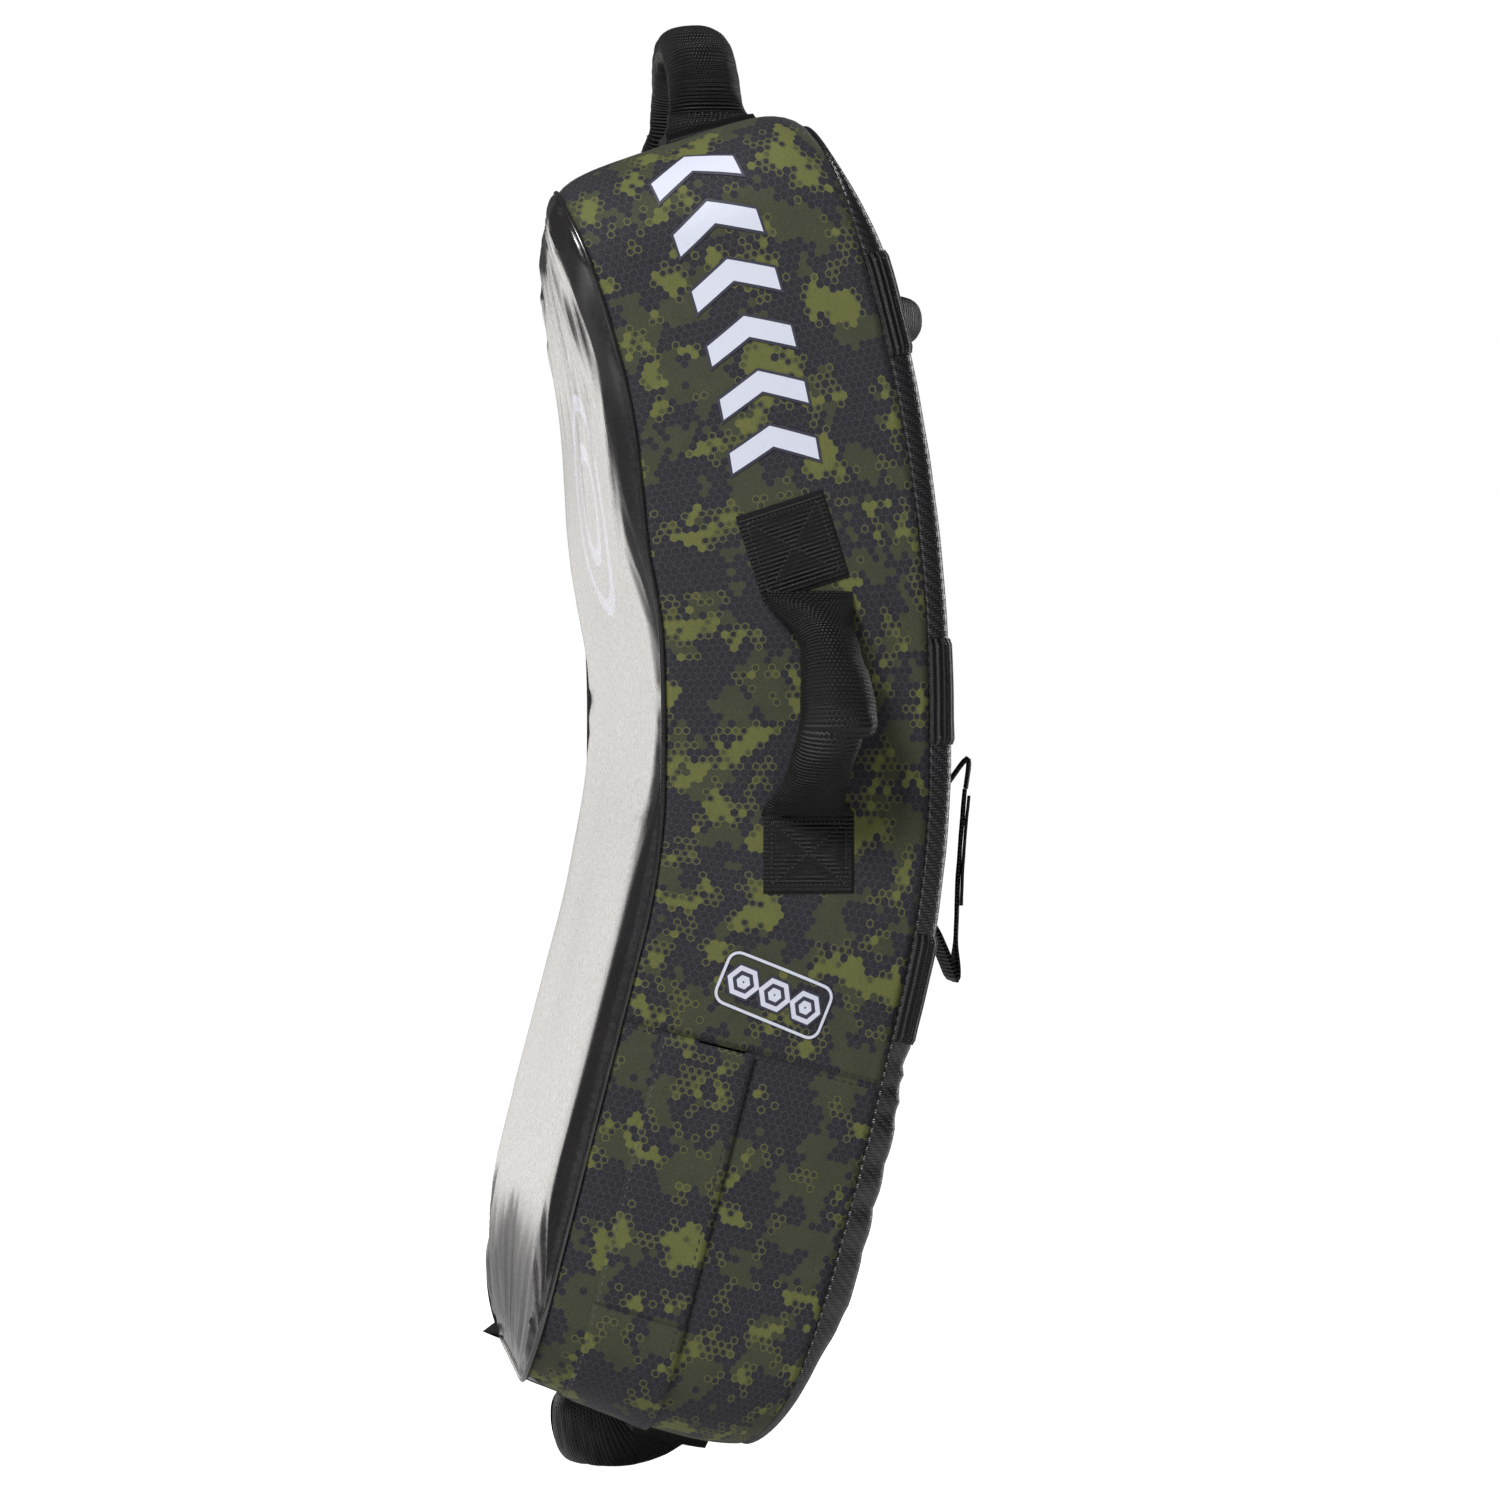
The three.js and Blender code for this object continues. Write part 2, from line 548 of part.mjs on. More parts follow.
// The grip is a small padded roll over the upper band, hanging a little below its anchors.
function addGrip() {
  const surface = placeAt(BAND_LENGTHS.upper, BAND_TOP + GAP);
  const frame = new THREE.Group();
  frame.rotation.y = 90 * DEG; // local Z out of the back, local X down the shield
  surface.add(frame);
  shield.add(surface);
  const swing = new THREE.Group();
  swing.name = "back_grip_frame";
  swing.rotation.y = GRIP_LEAN;
  frame.add(swing);
  const crown = { half: GRIP_HALF, thick: GRIP_HALF };
  const ends = { half: GRIP_HALF, thick: GRIP_END_THICK };
  addPaddedRoll(swing, "back_grip", GRIP_ARCH, { reach: GRIP_REACH, crown, ends }, GRIP_STRAP_HALF);
  const patchY = GRIP_ARCH.span - GRIP_PATCH.tuck + GRIP_PATCH.length / 2;
  const tailTop = GRIP_REACH + TAIL_CLEAR;
  [-1, 1].forEach((side) => {
    const [from, to] = side > 0 ? [tailTop, FOOT_ANGLE] : [-FOOT_ANGLE, -tailTop];
    const leg = archRibbon(GRIP_ARCH, from, to, WEBBING_THICK, () => GRIP_TAIL_HALF);
    const { width, length } = GRIP_PATCH;
    const patch = block(width, length, WEBBING_THICK, 0, side * patchY, WEBBING_THICK / 2);
    const name = side < 0 ? "back_grip_left_anchor" : "back_grip_right_anchor";
    add(frame, name, join(patch, leg), blackWebbing);
  });
}

// A strap drawn as a line in (out, up) and given its thickness, then made as broad as the webbing.
function strapGeometry(points, thick, width) {
  const side = (sign) =>
    points.map((point, i) => {
      const before = points[Math.max(i - 1, 0)];
      const after = points[Math.min(i + 1, points.length - 1)];
      const along = after.clone().sub(before).normalize();
      const off = (sign * thick) / 2;
      return new THREE.Vector2(point.x - along.y * off, point.y + along.x * off);
    });
  const shape = new THREE.Shape([...side(1), ...side(-1).reverse()]);
  const strap = new THREE.ExtrudeGeometry(shape, { depth: width, bevelEnabled: false });
  // Shape x is out of the back (local X) and shape y up the shield (local Z).
  return strap.rotateX(90 * DEG).translate(0, width / 2, 0);
}

// A forearm strap: a loop sewn to the back at its middle, closed by a hook-and-loop tail on its outer run.
function addForearmStrap(side) {
  const name = side < 0 ? "left" : "right";
  const frame = placeAt(STRAP_LENGTH, BAND_TOP + GAP, side * STRAP_SPREAD);
  shield.add(frame);
  const half = STRAP_HEIGHT / 2;
  const radius = STRAP_STAND / 2;
  const bend = (end, from, to) =>
    Array.from({ length: STRAP_BEND_STEPS + 1 }, (_, i) => {
      const angle = from + ((to - from) * i) / STRAP_BEND_STEPS;
      const out = STRAP_THICK / 2 + radius + radius * Math.cos(angle);
      return new THREE.Vector2(out, end * (half - radius) + radius * Math.sin(angle));
    });
  const outerEnd = new THREE.Vector2(STRAP_THICK / 2 + STRAP_STAND, half - STRAP_END_BELOW);
  const loop = [...bend(1, STRAP_START, 180 * DEG), ...bend(-1, 180 * DEG, 360 * DEG), outerEnd];
  add(frame, `${name}_forearm_loop`, strapGeometry(loop, STRAP_THICK, STRAP_WIDTH), blackWebbing);

  const tailFrame = new THREE.Group();
  tailFrame.name = `${name}_forearm_tail_frame`;
  tailFrame.position.set(STRAP_STAND + STRAP_THICK * 1.5 + GAP, 0, half - TAIL_BELOW);
  const tailStrap = block(STRAP_THICK, STRAP_WIDTH, TAIL_LENGTH, 0, 0, -TAIL_LENGTH / 2);
  add(tailFrame, `${name}_forearm_tail`, tailStrap, hookTape);
  frame.add(tailFrame);
}

// ---------------------------------------------------------------- assembly
addFoam();
addCover();
addZipTape();
addSlider();
addFlap();
addSideHandle(-1);
addSideHandle(1);
addEndHandle("top_handle", UPPER_LENGTH, TOP_HANDLE_DEPTH, TOP_ARCH, TOP_LEAN);
addEndHandle("bottom_handle", -LOWER_LENGTH, BOTTOM_HANDLE_DEPTH, BOTTOM_ARCH, BOTTOM_LEAN);
addBands();
addGrip();
addForearmStrap(-1);
addForearmStrap(1);

// The part's origin is on the strike face, at the middle of its width and of its flat station.
shield.position.x = DEPTH / 2 + FACE_CROWN;

export default shield;
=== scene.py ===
# The looks of a curved kick shield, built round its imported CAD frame.
import math

import bmesh
import bpy
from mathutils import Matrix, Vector, noise


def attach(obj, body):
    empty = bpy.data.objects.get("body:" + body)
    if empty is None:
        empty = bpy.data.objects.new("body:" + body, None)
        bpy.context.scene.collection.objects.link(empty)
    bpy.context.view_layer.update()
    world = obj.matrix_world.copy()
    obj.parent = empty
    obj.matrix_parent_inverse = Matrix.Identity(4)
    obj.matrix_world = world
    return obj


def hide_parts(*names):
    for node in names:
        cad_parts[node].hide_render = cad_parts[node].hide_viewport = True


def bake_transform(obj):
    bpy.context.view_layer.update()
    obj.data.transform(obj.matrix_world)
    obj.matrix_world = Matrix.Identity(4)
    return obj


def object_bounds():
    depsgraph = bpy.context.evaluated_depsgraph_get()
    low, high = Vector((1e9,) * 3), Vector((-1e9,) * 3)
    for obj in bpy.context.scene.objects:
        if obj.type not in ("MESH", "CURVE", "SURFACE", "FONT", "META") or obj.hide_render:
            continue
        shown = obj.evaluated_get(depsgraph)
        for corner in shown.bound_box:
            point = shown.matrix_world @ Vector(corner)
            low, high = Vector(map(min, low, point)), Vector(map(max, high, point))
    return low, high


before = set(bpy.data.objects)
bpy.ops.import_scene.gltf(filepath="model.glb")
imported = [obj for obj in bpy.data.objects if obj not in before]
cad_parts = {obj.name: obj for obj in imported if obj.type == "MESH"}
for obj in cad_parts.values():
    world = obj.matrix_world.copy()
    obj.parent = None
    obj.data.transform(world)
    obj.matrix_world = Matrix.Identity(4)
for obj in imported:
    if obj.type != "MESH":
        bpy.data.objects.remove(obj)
cad_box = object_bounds()

# ---- driving sizes, in millimetres
MM = 0.001
WIDTH = 350.0
DEPTH = 150.0
HALF_DEPTH = DEPTH / 2
CROWN = 9.0  # how far the padded back stands out of its seam
CORNER = 50.0
FLAT_HALF = 12.0  # half of the straight stretch in the middle of the bend
UPPER_RADIUS = 820.0
UPPER_LENGTH = 328.0
LOWER_RADIUS = 460.0
LOWER_BEND = math.radians(14.5)
LOWER_LENGTH = 383.0
FACE_X = HALF_DEPTH + CROWN

CROSS_SEAM = -173.0
FLAP_HINGE = -52.0
FLAP_EDGE = 0.0
ZIP_DEPTH = -18.0
ZIP_HALF = 13.0
CORD_RADIUS = 1.5

SIM_FRAMES = 20  # length of each cloth filling

# How the soft pad has settled out of its true shape, and the runs of length that this fades over.
TOP_LIFT = 5.0
TOP_LEAN = 2.5
TOP_BACK_DROP = 10.0
TOP_RUN = 110.0
BOTTOM_TUCK = 6.0
BOTTOM_RUN = 130.0
TOP_PRESS = 34.0
TOP_PRESS_RUN = 70.0
BOTTOM_PRESS = 20.0
BOTTOM_PRESS_RUN = 26.0
BEND_FORWARD = 3.5
UPPER_BACKWARD = 1.5
BACK_SEAM_IN = 4.5
BACK_SEAM_LOWER_IN = -1.5
BACK_CORNER_IN = 18.0
BACK_CORNER_RUN = 34.0


# ---- the bent frame
def centre(length):
    """The centre line's x and z at a length up the shield, and its lean from vertical."""
    run = abs(length) - FLAT_HALF
    if run <= 0:
        return 0.0, length, 0.0
    up = length > 0
    radius = UPPER_RADIUS if up else LOWER_RADIUS
    bend = run / radius if up else min(run / radius, LOWER_BEND)
    straight = run - bend * radius
    x = -radius * (1 - math.cos(bend)) - straight * math.sin(bend)
    z = FLAT_HALF + radius * math.sin(bend) + straight * math.cos(bend)
    return (x, z, bend) if up else (x, -z, -bend)


def smooth(low, high, x):
    """An eased step from 0 at low to 1 at high."""
    t = min(max((x - low) / (high - low), 0.0), 1.0)
    return t * t * (3 - 2 * t)


def settled(length, width, depth):
    """The soft pad's own settling: its ends lean and its far front corners are pressed back."""
    share = depth / HALF_DEPTH
    behind = min(max(share, 0.0), 1.0)
    before = min(max(-share, 0.0), 1.0)
    from_top = min(length - UPPER_LENGTH, 0.0)
    from_bottom = max(length + LOWER_LENGTH, 0.0)
    lift = TOP_LIFT - TOP_LEAN * max(share, -1.0) - TOP_BACK_DROP * behind**8
    lift *= smooth(UPPER_LENGTH - TOP_RUN, UPPER_LENGTH, length)
    lift -= BOTTOM_TUCK * min(share, 0.0) * smooth(BOTTOM_RUN - LOWER_LENGTH, -LOWER_LENGTH, length)
    across = min(max(width / WIDTH + 0.5, 0.0), 1.0)
    press = TOP_PRESS * math.exp(from_top / TOP_PRESS_RUN)
    press += BOTTOM_PRESS * math.exp(-from_bottom / BOTTOM_PRESS_RUN)
    forward = BEND_FORWARD * smooth(60, 120, length) * (1 - smooth(110, 200, length))
    forward -= UPPER_BACKWARD * smooth(150, 230, length) * (1 - smooth(285, 325, length))
    if depth > 0:
        seam_in = BACK_SEAM_IN + BACK_SEAM_LOWER_IN * smooth(-100, -190, length)
        corner_in = BACK_CORNER_IN * math.exp(-from_bottom / BACK_CORNER_RUN)
        past = min(max(depth - HALF_DEPTH, 0.0) / CROWN, 1.0)
        depth -= (corner_in + seam_in * (1 - past)) * behind**2
    return length + lift, width, depth + before**1.5 * (press * across - forward)


def bent(length, width, depth):
    """A place on the straight pad, carried onto the settled and bent one."""
    length, width, depth = settled(length, width, depth)
    x, z, lean = centre(length)
    return Vector((FACE_X + x + depth * math.cos(lean), width, z + depth * math.sin(lean)))


def bent_axes(length):
    """Unit vectors up the shield, across it (+Y) and out of its back, at a length."""
    lean = centre(length)[2]
    up = Vector((-math.sin(lean), 0, math.cos(lean)))
    back = Vector((math.cos(lean), 0, math.sin(lean)))
    return up, Vector((0, 1, 0)), back


HALF_END = WIDTH / 2 - CORNER
ARC = CORNER * math.pi / 2
SIDE_RUN = UPPER_LENGTH + LOWER_LENGTH - 2 * CORNER
PERIMETER = 4 * HALF_END + 2 * SIDE_RUN + 4 * ARC
NEAR_SIDE = HALF_END + ARC  # where the near side begins, measured round from the middle of the bottom


def around(s):
    """Length, width and outward normal at a distance round the outline from the middle of the bottom."""
    s %= PERIMETER
    if s > PERIMETER / 2:
        length, width, nl, nw = around(PERIMETER - s)
        return length, -width, nl, -nw
    low = -LOWER_LENGTH + CORNER
    high = UPPER_LENGTH - CORNER
    if s < HALF_END:
        return -LOWER_LENGTH, -s, -1.0, 0.0
    s -= HALF_END
    if s < ARC:
        turn = s / CORNER
        nl, nw = -math.cos(turn), -math.sin(turn)
        return low + CORNER * nl, -HALF_END + CORNER * nw, nl, nw
    s -= ARC
    if s < SIDE_RUN:
        return low + s, -WIDTH / 2, 0.0, -1.0
    s -= SIDE_RUN
    if s < ARC:
        turn = s / CORNER
        nl, nw = math.sin(turn), -math.cos(turn)
        return high + CORNER * nl, -HALF_END + CORNER * nw, nl, nw
    s -= ARC
    return UPPER_LENGTH, -HALF_END + s, 1.0, 0.0


def near(length):
    """Distance round the outline of a length on the near side."""
    return NEAR_SIDE + length + LOWER_LENGTH - CORNER


def ripple(x, y, seed):
    """Smooth unevenness of about -1 to 1."""
    return noise.noise(Vector((x, y, seed)))


def gusset_relief(s, depth):
    """How far the padded gusset stands out of its flat place."""
    _, width, nl, _ = around(s)
    share = depth / HALF_DEPTH
    edge = 1 - share**2
    out = 1.6 * max(edge, 0.0) ** 0.6
    middle = 1 - (width / WIDTH) ** 2 * 2
    if nl > 0:
        out += nl * (1 - share**6) * (5.0 - 4.0 * share) * middle
    else:
        out += -nl * (2.5 + 2.7 * share) * max(edge, 0.0) * middle
    out += 1.0 * ripple(s / 75, depth / 50, 3.1) * smooth(0, 0.5, edge)
    seam = HALF_DEPTH - abs(depth)
    out += 0.45 * ripple(s / 9, depth / 30, 7.7) * math.exp(-seam / 9) * (1 if depth < 0 else 1.3)
    return out


def gusset_point(s, depth, out=0.0):
    length, width, nl, nw = around(s)
    total = out + gusset_relief(s, depth)
    return bent(length + nl * total, width + nw * total, depth)


# ---- mesh helpers
def spaced(start, end, step):
    """Even stations from start to end, no further apart than step."""
    count = max(1, int(math.ceil(abs(end - start) / step)))
    return [start + (end - start) * i / count for i in range(count + 1)]


def link(mesh, name, material):
    thing = bpy.data.objects.new(name, mesh)
    bpy.context.scene.collection.objects.link(thing)
    mesh.materials.append(material)
    mesh.polygons.foreach_set("use_smooth", [True] * len(mesh.polygons))
    return thing


def fit(piece, slot, *replaced, body="shield", blend=None):
    """Hide the CAD nodes a piece stands for and put it under its body; a piece given a blend is only baked
    into world space instead. The slot is not used.
    """
    if replaced:
        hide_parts(*replaced)
    if blend:
        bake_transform(piece)
    else:
        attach(piece, body)
    return piece


def sheet(name, rows, columns, place, texture, material, round_rows=False, round_columns=False):
    """A grid of place(i, j) points in millimetres; texture(i, j) gives the UV, also in millimetres."""
    points = [place(i, j) * MM for i in range(rows) for j in range(columns)]
    row_cells = rows if round_rows else rows - 1
    column_cells = columns if round_columns else columns - 1
    faces = []
    corners = []
    for i in range(row_cells):
        for j in range(column_cells):
            quad = [(i, j), (i, j + 1), (i + 1, j + 1), (i + 1, j)]
            faces.append([(a % rows) * columns + b % columns for a, b in quad])
            corners.extend(quad)
    mesh = bpy.data.meshes.new(name)
    mesh.from_pydata(points, [], faces)
    layer = mesh.uv_layers.new(name="UVMap")
    for loop, (i, j) in zip(layer.data, corners):
        u, v = texture(i, j)
        loop.uv = (u * MM, v * MM)
    mesh.validate()
    return link(mesh, name, material)


def plain(row, column):
    return row, column


def grid_sheet(name, rows, columns, place, texture, material):
    """A sheet over stations: place(row, column) and texture(row, column) take the stations' own values."""
    def at(of):
        return lambda i, j: of(rows[i], columns[j])

    return sheet(name, len(rows), len(columns), at(place), at(texture), material)


def thicken(thing, thickness, offset=-1.0):
    added = thing.modifiers.new("thickness", "SOLIDIFY")
    added.thickness = thickness * MM
    added.offset = offset
    added.use_even_offset = True
    bpy.context.view_layer.objects.active = thing
    bpy.ops.object.modifier_apply(modifier=added.name)
    thing.data.polygons.foreach_set("use_smooth", [True] * len(thing.data.polygons))
    return thing


def spline(knots, t):
    """Catmull-Rom through the knots, t from 0 to 1."""
    last = len(knots) - 1
    at = min(max(t, 0.0), 1.0) * last
    i = min(int(at), last - 1)
    f = at - i
    p = [knots[min(max(k, 0), last)] for k in (i - 1, i, i + 1, i + 2)]
    out = []
    for a, b, c, d in zip(*p):
        square = 2 * a - 5 * b + 4 * c - d
        cube = 3 * b - a - 3 * c + d
        out.append(0.5 * (2 * b + (c - a) * f + square * f * f + cube * f**3))
    return out


def travel(points):
    """Distance along a chain of points, at each of them."""
    total = [0.0]
    for a, b in zip(points, points[1:]):
        total.append(total[-1] + math.dist(a, b))
    return total


def join_pieces(first, others):
    if others:
        bpy.ops.object.select_all(action="DESELECT")
        for thing in [first, *others]:
            thing.select_set(True)
        bpy.context.view_layer.objects.active = first
        bpy.ops.object.join()
    return first


def stitch_row(name, place, start, end, pitch, material, size=0.5):
    """A row of thread dashes: place(t) gives a point on the seam and the outward normal there."""
    count = max(2, int(round(abs(end - start) / pitch)))
    points = []
    faces = []
    for k in range(count):
        mid = start + (end - start) * (k + 0.5) / count
        half = (end - start) / count * 0.31
        first, normal = place(mid - half)
        last, _ = place(mid + half)
        side = (last - first).normalized().cross(normal).normalized() * size
        top = normal * size * 0.9
        middle = (first + last) / 2
        base = len(points)
        points += [first, middle + side, middle + top, middle - side, middle - top, last]
        for a, b in ((1, 2), (2, 3), (3, 4), (4, 1)):
            faces.append((base, base + a, base + b))
            faces.append((base + 5, base + b, base + a))
    mesh = bpy.data.meshes.new(name)
    mesh.from_pydata([p * MM for p in points], [], faces)
    mesh.validate()
    return link(mesh, name, material)


def raised(surface, out):
    """The point at a height over a surface(height), and the outward direction there."""
    low = surface(out)
    return low, (surface(out + 1.0) - low).normalized()


# ---- node helpers
class Graph:
    """A short way to write a node material, with places in millimetres."""

    def __init__(self, name):
        self.material = bpy.data.materials.new(name)
        self.material.use_nodes = True
        self.tree = self.material.node_tree
        self.shader = self.tree.nodes["Principled BSDF"]

    def feed(self, socket, value):
        if isinstance(value, bpy.types.NodeSocket):
            self.tree.links.new(value, socket)
        elif value is not None:
            socket.default_value = value

    def add(self, kind, *values, **settings):
        """A node with its settings and its first inputs."""
        made = self.tree.nodes.new("ShaderNode" + kind)
        for key, value in settings.items():
            setattr(made, key, value)
        for socket, value in zip(made.inputs, values):
            self.feed(socket, value)
        return made

    def named(self, kind, **inputs):
        """The first output of a node that is given some inputs by name."""
        made = self.add(kind)
        for key, value in inputs.items():
            self.feed(made.inputs[key], value)
        return made.outputs[0]

    def math(self, operation, *values):
        return self.add("Math", *values, operation=operation).outputs[0]

    def vector(self, operation, *values):
        return self.add("VectorMath", *values, operation=operation).outputs[0]

    def square(self, vector):
        """The squared length of a vector."""
        return self.add("VectorMath", vector, vector, operation="DOT_PRODUCT").outputs[1]

    def scaled(self, vector, by):
        made = self.add("VectorMath", vector, operation="SCALE")
        self.feed(made.inputs["Scale"], by)
        return made.outputs[0]

    def mix(self, share, low, high):
        made = self.add("Mix", share, data_type="RGBA")
        self.feed(made.inputs[6], low)
        self.feed(made.inputs[7], high)
        return made.outputs[2]

    def span(self, value, low, high, to_low=0.0, to_high=1.0):
        return self.add("MapRange", value, low, high, to_low, to_high).outputs[0]

    def uv(self):
        return self.scaled(self.add("UVMap", uv_map="UVMap").outputs[0], 1 / MM)

    def place(self):
        return self.scaled(self.add("TexCoord").outputs[3], 1 / MM)

    def noise(self, vector, size, detail=2.0, roughness=0.5):
        return self.named("TexNoise", Vector=vector, Scale=1.0 / size, Detail=detail, Roughness=roughness)

    def split(self, vector):
        return self.add("SeparateXYZ", vector).outputs[:3]

    def join(self, x, y, z=0.0):
        return self.add("CombineXYZ", x, y, z).outputs[0]

    def wave(self, value, pitch):
        """A sine of the value, once round for each pitch."""
        return self.math("SINE", self.math("MULTIPLY", value, 2 * math.pi / pitch))

    def bump(self, height, distance, strength=1.0, normal=None):
        return self.named("Bump", Height=height, Distance=distance * MM, Strength=strength, Normal=normal)

    def finish(self, **inputs):
        for key, value in inputs.items():
            self.feed(self.shader.inputs[key.replace("_", " ")], value)
        return self.material


def rgb(r, g, b):
    """An sRGB colour of 0 to 255 as the linear values that nodes take."""
    def linear(c):
        c /= 255
        return c / 12.92 if c <= 0.04045 else ((c + 0.055) / 1.055) ** 2.4
    return (linear(r), linear(g), linear(b), 1.0)


# ---- materials
HEX_PITCH = 4.5
TARGET_CENTRE = (150.0, -10.0, 0.0)
TARGET_RINGS = (34.0, 66.0)
TARGET_LINE = 11.0
TWILL_CELL = 1.3


def hexagon_cells(g):
    """The centre of the hexagon cell round each place, and the reach from there, 0.5 on the cell's edge."""
    u, v, _ = g.split(g.scaled(g.uv(), 1 / HEX_PITCH))
    p = g.join(g.math("ADD", v, 200.0), g.math("ADD", u, 200.0))
    tile = (1.0, math.sqrt(3), 1.0)
    half = (0.5, math.sqrt(3) / 2, 0.0)
    a = g.vector("SUBTRACT", g.vector("MODULO", p, tile), half)
    b = g.vector("SUBTRACT", g.vector("MODULO", g.vector("SUBTRACT", p, half), tile), half)
    nearer = g.math("LESS_THAN", g.square(a), g.square(b))
    local = g.vector("ADD", b, g.scaled(g.vector("SUBTRACT", a, b), nearer))
    x, y, _ = g.split(g.vector("ABSOLUTE", local))
    slant = g.math("ADD", g.math("MULTIPLY", x, 0.5), g.math("MULTIPLY", y, math.sqrt(3) / 2))
    return g.vector("SUBTRACT", p, local), g.math("MAXIMUM", x, slant)


def camo_material():
    """Charcoal cloth printed with hexagon cells in two greens, ringed at the edges of the light patches."""
    g = Graph("camo_cloth")
    cell, reach = hexagon_cells(g)
    broad = g.noise(cell, 8.0, 4.0, 0.66)
    olive_field = g.noise(g.vector("ADD", cell, (37.0, 11.0, 5.0)), 6.0, 4.0, 0.68)
    chance = g.named("TexWhiteNoise", Vector=cell)
    mid = g.math("GREATER_THAN", broad, 0.53)
    olive = g.math("GREATER_THAN", olive_field, 0.585)
    low_olive = g.math("GREATER_THAN", olive_field, 0.53)
    ring_zone = g.math("MULTIPLY", low_olive, g.math("LESS_THAN", olive_field, 0.6))
    ringed = g.math("MULTIPLY", ring_zone, g.math("GREATER_THAN", chance, 0.36))
    ring_line = g.math("MULTIPLY", g.math("GREATER_THAN", reach, 0.33), g.math("LESS_THAN", reach, 0.47))
    grid_line = g.span(reach, 0.44, 0.48)

    dark = rgb(31, 30, 38)
    ground = g.mix(g.math("MULTIPLY", grid_line, 0.9), dark, rgb(62, 62, 66))
    mid_tone = g.mix(g.noise(cell, 3.0), rgb(50, 54, 38), rgb(66, 70, 44))
    colour = g.mix(mid, ground, mid_tone)
    olive_tone = g.mix(g.noise(cell, 4.0), rgb(92, 96, 44), rgb(108, 110, 55))
    colour = g.mix(olive, colour, olive_tone)
    centre_tone = g.mix(0.55, colour, dark)
    ring = g.mix(ring_line, centre_tone, g.mix(0.75, colour, olive_tone))
    colour = g.mix(ringed, colour, ring)
    fleck = g.noise(g.place(), 0.7, 2.0)
    colour = g.mix(g.span(fleck, 0.4, 0.8, 0.0, 0.4), colour, rgb(84, 84, 86))
    weave = g.noise(g.place(), 0.8, 3.0, 0.75)
    soft = g.noise(g.place(), 9.0, 3.0)
    colour = g.mix(g.span(weave, 0.35, 0.7, 0.0, 0.6), colour, g.mix(0.5, colour, rgb(8, 8, 12)))
    return g.finish(
        Base_Color=colour,
        Roughness=g.span(weave, 0.3, 0.7, 0.62, 0.8),
        Normal=g.bump(soft, 1.2, 0.35, g.bump(weave, 0.45, 0.8)),
        Sheen_Weight=0.08,
        Sheen_Roughness=0.4,
        Specular_IOR_Level=0.25,
    )


def vinyl_material(name, printed=False):
    """Semi-gloss black sheet with a very fine grain and soft creases and, on the face, a two-ring target."""
    g = Graph(name)
    p = g.place()
    fine = g.noise(p, 2.4, 3.0)
    normal = g.bump(g.named("TexVoronoi", Vector=p, Scale=1.1), 0.015, 0.4)
    normal = g.bump(fine, 0.01, 0.4, normal)
    normal = g.bump(g.noise(p, 16.0, 4.0, 0.55), 0.06, 0.35, normal)
    wear = g.noise(p, 30.0, 3.0)
    colour = g.mix(g.span(wear, 0.35, 0.7), rgb(16, 15, 17), rgb(26, 24, 26))
    if printed:
        away = g.math("SQRT", g.square(g.vector("SUBTRACT", g.uv(), TARGET_CENTRE)))
        for radius in TARGET_RINGS:
            off_line = g.math("ABSOLUTE", g.math("SUBTRACT", away, radius))
            colour = g.mix(g.math("LESS_THAN", off_line, TARGET_LINE / 2), colour, rgb(128, 130, 158))
    return g.finish(Base_Color=colour, Roughness=g.span(fine, 0.3, 0.7, 0.22, 0.3), Normal=normal, IOR=1.85)


def twill_material():
    """Black sheet embossed with a diagonal two-way twill, as on the back."""
    g = Graph("back_vinyl")
    u, v, _ = g.split(g.uv())
    across = g.math("FLOOR", g.math("DIVIDE", u, TWILL_CELL))
    step = g.math("FRACT", g.math("DIVIDE", g.math("ADD", g.math("DIVIDE", v, TWILL_CELL), across), 4.0))
    over = g.math("LESS_THAN", step, 0.5)
    thread_u = g.math("ABSOLUTE", g.wave(u, 2 * TWILL_CELL))
    thread_v = g.math("ABSOLUTE", g.wave(v, 2 * TWILL_CELL))
    under = g.math("SUBTRACT", 1.0, over)
    height = g.math("ADD", g.math("MULTIPLY", over, thread_u), g.math("MULTIPLY", under, thread_v))
    normal = g.bump(height, 0.16, 0.7)
    normal = g.bump(g.noise(g.place(), 1.2, 3.0), 0.06, 0.4, normal)
    normal = g.bump(g.noise(g.place(), 14.0, 3.0), 1.0, 0.3, normal)
    return g.finish(
        Base_Color=g.mix(over, rgb(13, 13, 15), rgb(20, 20, 23)),
        Roughness=g.span(height, 0.0, 1.0, 0.36, 0.24),
        Normal=normal,
        Specular_IOR_Level=0.7,
    )


